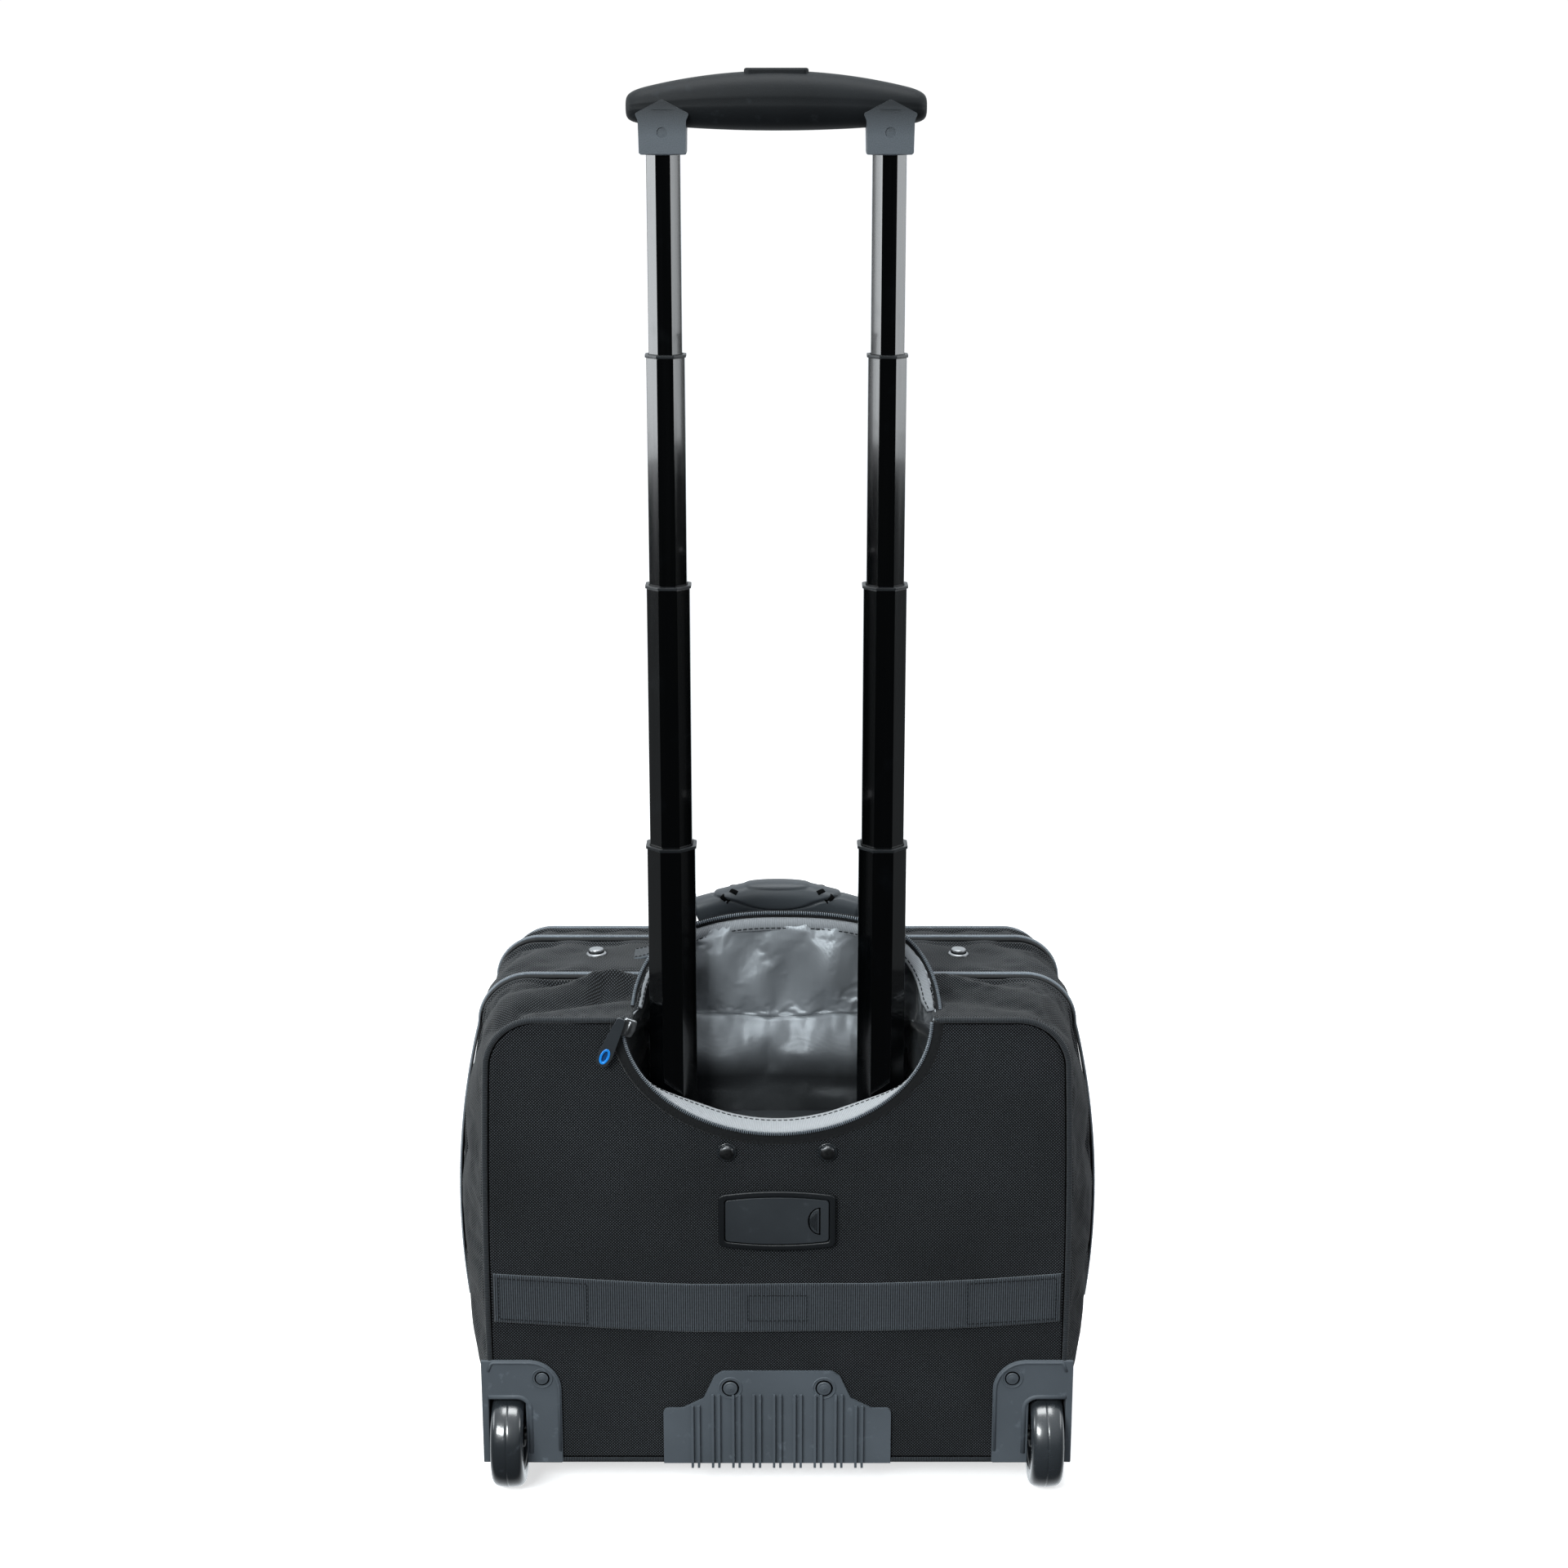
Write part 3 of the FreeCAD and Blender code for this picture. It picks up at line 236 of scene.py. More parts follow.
def painted_tube():
    """Gloss black powder coat over aluminium, with faint drawing lines and rubbed places."""
    paint = Paint("tube_gloss", Specular_IOR_Level=0.5, Coat_Weight=0.35, Coat_Roughness=0.05)
    where = paint.place()
    squeezed = paint.node("Mapping", {"Vector": where, "Scale": (260.0, 260.0, 6.0)})
    drawn = paint.noise(squeezed, 1.0, 3.0)
    rub = paint.ramp(paint.noise(where, 34.0, 5.0), 0.6, 0.75, 0.0, 1.0)
    colour = paint.mix(rub, grey(0.0005, 0.4), grey(0.0014, 0.4))
    rough = paint.math("ADD", paint.ramp(drawn, 0.3, 0.7, 0.09, 0.17), paint.math("MULTIPLY", rub, 0.07))
    return paint.done(colour, rough, paint.bump(drawn, 0.00001, 0.35))


def backdrop():
    paint = Paint("floor_pale", Specular_IOR_Level=0.1, Emission_Color=(1, 1, 1, 1), Emission_Strength=0.62)
    tone = paint.ramp(paint.noise(paint.place(), 0.7), 0.2, 0.8, 0.955, 0.965)
    colour = paint.node("CombineColor", {0: tone, 1: tone, 2: tone})
    return paint.done(colour)


BALLISTIC = ballistic()
SATIN = satin("lining_satin_cloth", 0.36, 0.25, 0.33)
# a much darker copy of the lining satin: painted shade for the cloth's inner faces and the divider inside the
# bag
SATIN_SHADED = satin("lining_satin_inside_shaded", 0.10, 0.05, 0.3)
WEBBING = ribbed("webbing_grosgrain", 0.0016, 0.006, 0.098, 0.8)
BINDING_GREY = ribbed("binding_grey", 0.0009, 0.34, 0.54, 0.85, depth=0.00015, cool=0.04)
# a darker copy of the grey binding: painted shade on the flap's binding
BINDING_FLAP_SHADED = ribbed("binding_grey_painted_shade", 0.0009, 0.20, 0.34, 0.85, depth=0.00015, cool=0.06)
BINDING_BLACK = ribbed("binding_black", 0.0012, 0.004, 0.045, 0.85, depth=0.00015)
TAPE = ribbed("zipper_tape_weave", 0.0007, 0.0015, 0.012, 0.85, depth=0.0001)
# near-black: painted shade for ditches, slots, gaps and recesses
RECESS_SHADE = moulded("recess_painted_shade", 0.0008, 0.0015, 0.8, shine=0.05)
# the black nylon coil in a light grey: painted highlights on its teeth
COIL_GLINT = moulded("zipper_coil_painted_glint", 0.13, 0.22, 0.26, scale=900.0, shine=0.8)
THREAD_BLACK = moulded("thread_black", 0.008, 0.016, 0.7, scale=4000.0, shine=0.25)
TUBE = painted_tube()
PLASTIC = moulded("plastic_matte", 0.088, 0.115, 0.50, grain=0.00012, scale=1700.0, shine=0.35)
PLASTIC_INNER = moulded("plastic_inside", 0.020, 0.028, 0.6)
PLASTIC_GRIP = moulded("plastic_grip", 0.006, 0.011, 0.52, grain=0.00012, scale=1500.0, shine=0.16)
PLASTIC_BLACK = moulded("plastic_black", 0.008, 0.013, 0.32, shine=0.45)
RUBBER = moulded("rubber_handle", 0.036, 0.050, 0.42, scale=1100.0, shine=0.45)
TYRE = moulded("tyre_rubber_black", 0.026, 0.038, 0.22, grain=0.00002, shine=0.9, Coat_Weight=0.9,
               Coat_Roughness=0.12)
HUB = moulded("hub_grey", 0.045, 0.06, 0.4)
BOARD = moulded("stiffener_board", 0.10, 0.14, 0.85, scale=300.0, shine=0.2)
STEEL = metal("steel_plain", 0.45, 0.28)
CHROME = metal("chrome_bright", 0.75, 0.08, 0.08)
GUNMETAL = metal("gunmetal_dark", 0.16, 0.22)
PULL_GREY = moulded("pull_tab_grey", 0.030, 0.045, 0.28, shine=0.9)
NICKEL = metal("slider_nickel", 0.40, 0.25)
PLASTIC_TAG = moulded("plastic_tag", 0.026, 0.040, 0.36, shine=0.6)
RIVET_GREY = moulded("rivet_grey", 0.075, 0.10, 0.35, shine=0.7)
STUD_BLACK = moulded("stud_black", 0.016, 0.026, 0.18, shine=0.6, Coat_Weight=0.6)


def socket_plastic():
    """The sockets' grey, which runs into the grip's darker moulding at the gables."""
    paint = Paint("plastic_socket", Specular_IOR_Level=0.4)
    where = paint.place()
    speckle = paint.ramp(paint.noise(where, 1500.0), 0.3, 0.7, 0.0, 1.0)
    rise = paint.ramp(paint.axis(where, "Z"), 0.974, 0.994, 0.0, 0.85)
    colour = paint.mix(rise, paint.mix(speckle, grey(0.070), grey(0.105)), grey(0.010))
    return paint.done(colour, paint.ramp(speckle, 0.0, 1.0, 0.4, 0.5), paint.bump(speckle, 0.0001, 0.5))


PLASTIC_SOCKET = socket_plastic()


def enamel(name, dark, light):
    paint = Paint(name, Specular_IOR_Level=0.5, Coat_Weight=0.4)
    shade = paint.ramp(paint.noise(paint.place(), 90.0), 0.3, 0.7, 0.0, 1.0)
    return paint.done(paint.mix(shade, (*dark, 1), (*light, 1)), paint.ramp(shade, 0.0, 1.0, 0.28, 0.4))


BLUE = enamel("ring_blue_enamel", (0.005, 0.21, 0.68), (0.008, 0.28, 0.85))
# a darker copy of the blue enamel: painted shade on the floor inside the pull's ring
BLUE_SHADED = enamel("ring_blue_painted_shade", (0.002, 0.045, 0.14), (0.003, 0.06, 0.19))

# ---------------------------------------------------------------- mesh building

class Build:
    """Vertices, faces, cloth coordinates and material numbers of one piece."""

    def __init__(self):
        self.points = []
        self.faces = []
        self.cuts = []
        self.slots = []

    def face(self, corners, slot=0, cut=None):
        """One face: the numbers of its corners, and where they are on the cloth."""
        self.faces.append(corners)
        self.slots.append(slot)
        self.cuts.extend(cut or [(0.0, 0.0)] * len(corners))

    def grid(self, points, cut=None, slot=0, wrap=(False, False), flip=False, skip=None):
        """A sheet of faces over a two-dimensional array of points."""
        rows, columns = points.shape[:2]
        base = len(self.points)
        self.points.extend(map(tuple, points.reshape(-1, 3)))
        made = []
        for i in range(rows if wrap[0] else rows - 1):
            for j in range(columns if wrap[1] else columns - 1):
                if skip is not None and skip[i, j]:
                    continue
                corners = [(i, j), (i + 1, j), (i + 1, j + 1), (i, j + 1)]
                if flip:
                    corners.reverse()
                face = [base + (a % rows) * columns + b % columns for a, b in corners]
                self.face(face, slot, None if cut is None else [tuple(cut[a, b]) for a, b in corners])
                made.append(face)
        return base, made

    def shell(self, points, thick, cut, slots=(0, 1, 2), skip=None, wrap=(False, False)):
        """A sheet with an inner face, closed round its edges."""
        normals = grid_normals(points, wrap)
        inner = points - normals * (thick if np.isscalar(thick) else thick[..., None])
        outer_base, outer = self.grid(points, cut, slots[0], wrap, skip=skip)
        inner_base, _ = self.grid(inner, cut, slots[1], wrap, flip=True, skip=skip)
        shift = inner_base - outer_base
        edges = {}
        for face in outer:
            for a, b in zip(face, face[1:] + face[:1]):
                edges[(a, b)] = edges.get((a, b), 0) + 1
        for a, b in edges:
            if (b, a) not in edges:
                around = [(0.0, 0.0), (0.001, 0.0), (0.001, 0.001), (0.0, 0.001)]
                self.face([b, a, a + shift, b + shift], slots[2], around)

    def caps(self, base, rows, columns, slot=0):
        """Close both ends of a tube made by grid with its columns wrapped."""
        first = [base + k for k in range(columns)]
        last = [base + (rows - 1) * columns + k for k in reversed(range(columns))]
        self.face(first, slot)
        self.face(last, slot)

    def tube(self, rings, cut=None, slot=0):
        """A closed tube over an array of rings."""
        base, _ = self.grid(rings, cut, slot, (False, True))
        self.caps(base, *rings.shape[:2], slot)

    def copies(self, shape, faces, origins, along, side, up, slot=0):
        """A small solid repeated at many places, each with its own axes."""
        shape = np.array(shape, float)
        placed = (origins[:, None] + along[:, None] * shape[None, :, :1]
                  + side[:, None] * shape[None, :, 1:2] + up[:, None] * shape[None, :, 2:])
        base = len(self.points)
        self.points.extend(map(tuple, placed.reshape(-1, 3)))
        for k in range(len(origins)):
            shift = base + k * len(shape)
            for face in faces:
                self.face([shift + v for v in face], slot)

    def make(self, name, body, slot, materials, replaces=(), smooth=True):
        mesh = bpy.data.meshes.new(name)
        mesh.from_pydata(metres(self.points).tolist(), [], self.faces)
        for material in materials:
            mesh.materials.append(material)
        mesh.polygons.foreach_set("material_index", self.slots)
        mesh.polygons.foreach_set("use_smooth", [smooth] * len(self.faces))
        layer = mesh.uv_layers.new(name="cut")
        layer.data.foreach_set("uv", np.array(self.cuts, np.float32).ravel() * MM)
        mesh.validate()
        mesh.update()
        return riding(name, mesh, body, replaces)


def sewn(name, points, thick, cut, body, slot, materials, replaces=(), **how):
    """A piece that is one sheet with an inner face: its outer, inner and edge materials, or one for all."""
    build = Build()
    if len(materials) == 1:
        how["slots"] = (0, 0, 0)
    build.shell(points, thick, cut, **how)
    return build.make(name, body, slot, materials, replaces)


def linked(name, data):
    """A new object of the scene."""
    made = bpy.data.objects.new(name, data)
    bpy.context.scene.collection.objects.link(made)
    return made


def riding(name, mesh, body, replaces):
    """A mesh as a piece that rides on a body and stands for some CAD nodes."""
    piece = linked(name, mesh)
    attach(piece, body)
    if replaces:
        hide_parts(*replaces)
    return piece


def unit(vectors):
    length = np.linalg.norm(vectors, axis=-1, keepdims=True)
    return vectors / np.maximum(length, 1e-9)


def grid_normals(points, wrap=(False, False)):
    """Outward normals of a grid whose first axis crossed with its second points outwards."""
    slopes = []
    for axis in (0, 1):
        if wrap[axis]:
            slopes.append(np.roll(points, -1, axis) - np.roll(points, 1, axis))
        else:
            slopes.append(np.gradient(points, axis=axis))
    return unit(np.cross(slopes[0], slopes[1]))


def faced(points, letter, sign, turned_axis=0):
    """A grid whose middle faces a way along an axis: turned over, if it doesn't, along one of its axes."""
    rows, columns = points.shape[:2]
    towards = grid_normals(points)[rows // 2, columns // 2, "xyz".index(letter)]
    return points if towards * sign > 0 else np.flip(points, turned_axis)


def lengths(points):
    """Distance run along a path, from its first point."""
    steps = np.linalg.norm(np.diff(points, axis=0), axis=1)
    return np.concatenate([[0.0], np.cumsum(steps)])


def evened(vectors, reach=4):
    """Directions along a path, averaged with their neighbours."""
    window = np.ones(2 * reach + 1) / (2 * reach + 1)
    padded = np.concatenate([vectors[:1]] * reach + [vectors] + [vectors[-1:]] * reach)
    return unit(np.stack([np.convolve(padded[:, k], window, "valid") for k in range(3)], 1))


def cloth_map(points, wrap=(False, False)):
    """Cloth coordinates of a grid: mean distance run along each of its axes."""
    if wrap[0]:
        points = np.concatenate([points, points[:1]])
    if wrap[1]:
        points = np.concatenate([points, points[:, :1]], 1)
    rows, columns = points.shape[:2]
    if columns < 3:
        down = lengths(points.mean(1))
    else:
        down = np.mean([lengths(points[:, j]) for j in range(0, columns, 3)], axis=0)
    over = np.mean([lengths(points[i]) for i in range(0, rows, 3)], axis=0)
    return np.stack(np.broadcast_arrays(down[:, None], over[None, :]), axis=-1)


def refine(points, times, axis, wrap=False):
    """More rows between those of a grid, on a smooth curve through them."""
    given = np.moveaxis(points, axis, 0)
    if wrap:
        padded = np.concatenate([given[-1:], given, given[:2]])
        count = len(given)
    else:
        padded = np.concatenate([2 * given[:1] - given[1:2], given, 2 * given[-1:] - given[-2:-1]])
        count = len(given) - 1
    p0, p1, p2, p3 = (padded[k:k + count] for k in range(4))
    steps = []
    for k in range(times):
        t = k / times
        steps.append(0.5 * (2 * p1 + (p2 - p0) * t + (2 * p0 - 5 * p1 + 4 * p2 - p3) * t ** 2
                            + (3 * p1 - p0 - 3 * p2 + p3) * t ** 3))
    fine = np.stack(steps, 1).reshape(count * times, *given.shape[1:])
    if not wrap:
        fine = np.concatenate([fine, given[-1:]])
    return np.moveaxis(fine, 0, axis)


def spread(path, pitch, normals):
    """Evenly spaced points on a path, with their directions and normals. One normal may serve them all."""
    run = lengths(path)
    count = max(int(run[-1] / pitch), 2)
    places = (np.arange(count) + 0.5) * run[-1] / count
    points = np.stack([np.interp(places, run, path[:, k]) for k in range(3)], 1)
    slopes = np.gradient(path, run, axis=0)
    along = unit(np.stack([np.interp(places, run, slopes[:, k]) for k in range(3)], 1))
    normals = np.broadcast_to(normals, path.shape)
    up = np.stack([np.interp(places, run, normals[:, k]) for k in range(3)], 1)
    up = unit(up - along * (up * along).sum(1, keepdims=True))
    return points, along, up


def swept(path, outline, normals):
    """An outline of (side, up) pairs carried along a path: an array of points."""
    normals = np.array(normals, float)
    along = unit(np.gradient(path, axis=0))
    up = unit(normals - along * (normals * along).sum(1, keepdims=True))
    side = np.cross(up, along)
    outline = np.array(outline, float)
    return path[:, None] + side[:, None] * outline[None, :, :1] + up[:, None] * outline[None, :, 1:]


def ring(radius, count, squash=1.0, turn=0.0):
    """A circle or ellipse as (side, up) pairs."""
    angles = np.arange(count) / count * 2 * math.pi + turn
    return np.stack([radius * np.cos(angles), -radius * squash * np.sin(angles)], 1)


def capsule(long, wide, high, sides=6, pointed=0.45):
    """A small rounded bar along its first axis: points and faces."""
    points = []
    for x, size in ((-0.5, pointed), (-0.32, 1.0), (0.32, 1.0), (0.5, pointed)):
        for k in range(sides):
            angle = (k + 0.5) / sides * 2 * math.pi
            points.append((x * long, wide / 2 * size * math.cos(angle), high / 2 * size * math.sin(angle)))
    faces = []
    for first in (0, sides, 2 * sides):
        for k in range(sides):
            after = (k + 1) % sides
            faces.append([first + k, first + after, first + sides + after, first + sides + k])
    faces += [list(reversed(range(sides))), [3 * sides + k for k in range(sides)]]
    return points, faces


STITCH_SHARE = 0.72  # how much of a stitch's pitch its thread shows


def stitches(name, path, normals, body, pitch, thick=0.55):
    """A row of lockstitches along a path, half sunk in the cloth."""
    build = Build()
    points, along, up = spread(path, pitch, normals)
    shape, faces = capsule(pitch * STITCH_SHARE, thick, thick)
    build.copies(shape, faces, points + up * thick * 0.12, along, np.cross(up, along), up)
    return build.make(name, body, "zipper_tape", [THREAD_BLACK])


def teeth(build, path, normals, towards, pitch=1.5, reach=2.6, high=1.5, shift=0.0):
    """One side of a coil zipper: small loops that point to towards (+1 left of the path, or -1)."""
    points, along, up = spread(path, pitch, normals)
    side = np.cross(up, along) * towards
    shape, faces = capsule(reach, pitch * 0.62, high)
    turned = [(a[1], a[0], a[2]) for a in shape]
    turned_faces = [list(reversed(face)) for face in faces]
    origins = points + along * shift + side * reach * 0.28 + up * high * 0.35
    build.copies(turned, turned_faces, origins, along, side, up)


def sleeve(build, path, away, radius, slot=0, columns=10, squash=1.0):
    """A closed cord along a path."""
    build.tube(swept(path, ring(radius, columns, squash), away), slot=slot)


def plate(name, loops, back, front, body, material, bevel=0.5, replaces=(), segments=3):
    """A flat moulded piece: closed outlines of (x, z) pairs, the later ones holes, between two depths."""
    work = bmesh.new()
    for loop in loops:
        corners = [work.verts.new((x, back, z)) for x, z in loop]
        for a, b in zip(corners, corners[1:] + corners[:1]):
            work.edges.new((a, b))
    bmesh.ops.triangle_fill(work, use_beauty=True, use_dissolve=False, edges=work.edges[:])
    if len(loops) == 1:
        bmesh.ops.dissolve_limit(work, angle_limit=0.01, verts=work.verts[:], edges=work.edges[:],
                                 delimit={"NORMAL"})
    made = bmesh.ops.extrude_face_region(work, geom=work.faces[:])
    moved = [item for item in made["geom"] if isinstance(item, bmesh.types.BMVert)]
    bmesh.ops.translate(work, verts=moved, vec=(0, front - back, 0))
    bmesh.ops.recalc_face_normals(work, faces=work.faces[:])
    mesh = bpy.data.meshes.new(name)
    work.to_mesh(mesh)
    work.free()
    coordinates = np.zeros(len(mesh.vertices) * 3)
    mesh.vertices.foreach_get("co", coordinates)
    mesh.vertices.foreach_set("co", metres(coordinates).ravel())
    mesh.materials.append(material)
    soften(riding(name, mesh, body, replaces), bevel, segments)


def dressed(name, material, width):
    """A CAD node that stays, with a finished material and softened edges."""
    piece = frame["nodes"][name]
    piece.data.materials.clear()
    piece.data.materials.append(material)
    soften(piece, width)


def soften(piece, width, segments=2, angle=35):
    """Rounded edges and even shading for a hard piece."""
    for polygon in piece.data.polygons:
        polygon.use_smooth = True
    if "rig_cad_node" in piece:
        weld = piece.modifiers.new("weld", "WELD")
        weld.merge_threshold = 0.00001
    bevel = piece.modifiers.new("bevel", "BEVEL")
    bevel.width = width * MM
    bevel.segments = segments
    bevel.limit_method = "ANGLE"
    bevel.angle_limit = math.radians(angle)
    bevel.harden_normals = False
    even = piece.modifiers.new("even", "WEIGHTED_NORMAL")
    even.keep_sharp = False
    even.weight = 90


def rounded(corners, radius, steps=6):
    """A closed outline with its corners rounded: one radius, or one for each corner."""
    corners = [np.array(c, float) for c in corners]
    radii = [radius] * len(corners) if np.isscalar(radius) else radius
    outline = []
    for k, corner in enumerate(corners):
        before = unit(corners[k - 1] - corner)
        after = unit(corners[(k + 1) % len(corners)] - corner)
        half = math.acos(float(np.clip((before * after).sum(), -1, 1))) / 2
        if radii[k] <= 0 or half > 1.5:
            outline.append(tuple(corner))
            continue
        reach = radii[k] / math.tan(half)
        centre = corner + unit(before + after) * radii[k] / math.sin(half)
        start = corner + before * reach - centre
        end = corner + after * reach - centre
        first = math.atan2(start[1], start[0])
        turn = (math.atan2(end[1], end[0]) - first + math.pi) % (2 * math.pi) - math.pi
        for step in range(steps + 1):
            angle = first + turn * step / steps
            outline.append(tuple(centre + radii[k] * np.array([math.cos(angle), math.sin(angle)])))
    return outline


# ---------------------------------------------------------------- cloth

def ripple(where, size, seed, directions=5):
    """Smooth, seeded unevenness between about -1 and 1, over points in millimetres."""
    draw = np.random.default_rng(seed)
    total = np.zeros(where.shape[:-1])
    for _ in range(directions):
        heading = unit(draw.normal(size=where.shape[-1]))
        pace = 2 * math.pi / (size * draw.uniform(0.7, 1.6))
        total += np.sin((where * heading).sum(-1) * pace + draw.uniform(0, 2 * math.pi))
    return total / directions * 1.4


def framed(points):
    """Marks the four edges of a grid, which a seam holds."""
    pins = np.zeros(points.shape[:2])
    pins[:, 0] = pins[:, -1] = 1
    pins[0] = pins[-1] = 1
    return pins


def relax(points, pinned, slack, pressure, cap, frames=16, wrap=(False, False), bend=0.4):
    """Let a pinned sheet settle as cloth cut slack larger than its frame, moving at most about cap mm."""
    build = Build()
    build.grid(points, wrap=wrap)
    mesh = bpy.data.meshes.new("settling")
    mesh.from_pydata(metres(build.points).tolist(), [], build.faces)
    sheet = linked("settling", mesh)
    held = sheet.vertex_groups.new(name="held")
    weights = pinned.ravel()
    for index in np.nonzero(weights > 0.01)[0]:
        held.add([int(index)], float(weights[index]), "REPLACE")
    cloth = sheet.modifiers.new("cloth", "CLOTH")
    settings = cloth.settings
    settings.quality = 5
    settings.mass = 0.15
    settings.air_damping = 4
    settings.tension_stiffness = 25
    settings.compression_stiffness = 25
    settings.shear_stiffness = 8
    settings.bending_stiffness = bend
    settings.vertex_group_mass = "held"
    settings.shrink_min = -slack
    settings.use_pressure = pressure != 0
    settings.uniform_pressure_force = pressure
    settings.effector_weights.gravity = 0
    cloth.collision_settings.use_collision = False
    cloth.collision_settings.use_self_collision = False
    cloth.point_cache.frame_start = 1
    cloth.point_cache.frame_end = frames
    scene = bpy.context.scene
    for number in range(1, frames + 1):
        scene.frame_set(number)
    settled = sheet.evaluated_get(bpy.context.evaluated_depsgraph_get()).to_mesh()
    moved = np.zeros(len(settled.vertices) * 3)
    settled.vertices.foreach_get("co", moved)
    moved = moved.reshape(points.shape)
    moved[..., 1] -= BACK_PLANE * MM
    moved /= MM
    bpy.data.objects.remove(sheet)
    scene.frame_set(1)
    shift = moved - points
    far = np.linalg.norm(shift, axis=-1, keepdims=True)
    return points + shift * cap * np.tanh(far / cap) / np.maximum(far, 1e-6)


# ---------------------------------------------------------------- the bag's outline

# depth, half width low, at the belly and at the top, height of the top, radius of the top corners
STATIONS = np.array([
    (0, 208, 209, 206, 370, 36),
    (32, 214, 224, 213, 371, 36),
    (90, 217, 234, 218, 371, 36),
    (132, 218, 235, 217, 371, 33),
    (174, 217, 232, 213, 371, 31),
    (212, 209, 221, 206, 368, 31),
], float)
# height of the bottom and of the belly, and radius of the bottom corners
BAG_LOW, BELLY, HEEL = 26.0, 238.0, 14.0
# depths of the rear zipper, of the main zipper and of the bag's front edge
REAR, MIDDLE, FRONT = 90.0, 174.0, 212.0
# half width and height of the handle opening, below the bag's top
MOUTH_HALF, MOUTH_DEEP, BAG_TOP = 109.0, 85.0, 370.0
# a wheel's housing: its inner side, its top and its depth
GUARD_INSIDE, HOUSE_TOP, GUARD_DEEP = 181.5, 80.0, 58.0
# where the section zippers end
TAPE_LOW = 112.0


def section(depth):
    return [float(np.interp(depth, STATIONS[:, 0], STATIONS[:, k])) for k in range(1, 6)]


def half_outline(depth, start, low=BAG_LOW):
    """The right half of the bag's outline at a depth, from the top down to the middle of the bottom."""
    wide_low, wide_belly, wide_top, top, corner = section(depth)
    z0, z1 = low + HEEL, top - corner
    # the circle through foot, belly and shoulder
    foot, belly, shoulder = np.array([(wide_low, z0), (wide_belly, BELLY), (wide_top, z1)])
    matrix = 2 * np.array([belly - foot, shoulder - foot])
    squares = [(point ** 2).sum() - (foot ** 2).sum() for point in (belly, shoulder)]
    centre = np.linalg.solve(matrix, squares)
    radius = np.linalg.norm(foot - centre)
    points = [(x, top) for x in np.linspace(start, wide_top - corner, 19)]
    points += [(wide_top - corner + corner * math.sin(a), z1 + corner * math.cos(a))
               for a in np.linspace(0, math.pi / 2, 11)[1:]]
    down = list(np.linspace(z1, HOUSE_TOP, 37)[1:]) + list(np.linspace(HOUSE_TOP, z0, 7)[1:])
    points += [(centre[0] + math.sqrt(radius ** 2 - (z - centre[1]) ** 2), z) for z in down]
    points += [(wide_low - HEEL + HEEL * math.cos(a), z0 - HEEL * math.sin(a))
               for a in np.linspace(0, math.pi / 2, 6)[1:]]
    points += [(x, low) for x in np.linspace(wide_low - HEEL, GUARD_INSIDE, 4)[1:]]
    points += [(x, low) for x in np.linspace(GUARD_INSIDE, 0, 25)[1:]]
    return np.array(points)


def outline(depth, start=0.0, low=BAG_LOW, at=None):
    """The bag's whole outline at a depth, clockwise seen from the trolley side, open at the top if start."""
    right = half_outline(depth, start, low)
    left = right[::-1][1:] * (-1, 1)
    flat = np.concatenate([right, left if start else left[:-1]])
    return np.stack([flat[:, 0], np.full(len(flat), depth if at is None else at), flat[:, 1]], 1)


def along_top(depth, low=TAPE_LOW, lift=0.0):
    """The part of an outline above low, from the right side over the top to the left, with its normals."""
    points = outline(depth)
    points = np.roll(points, len(points) // 2, 0)
    normals = unit(np.roll(points, -1, 0) - np.roll(points, 1, 0))
    normals = np.stack([-normals[:, 2], 0 * normals[:, 0], normals[:, 0]], 1)
    keep = points[:, 2] >= low
    return points[keep] + normals[keep] * lift, normals[keep]


# outer face, inner face in the darker painted-shade satin, and edges
FABRIC = [BALLISTIC, SATIN_SHADED, BINDING_BLACK]


def all_round(marked):
    """The faces of a grid whose four corners are all marked."""
    return marked[:-1, :-1] & marked[1:, :-1] & marked[:-1, 1:] & marked[1:, 1:]


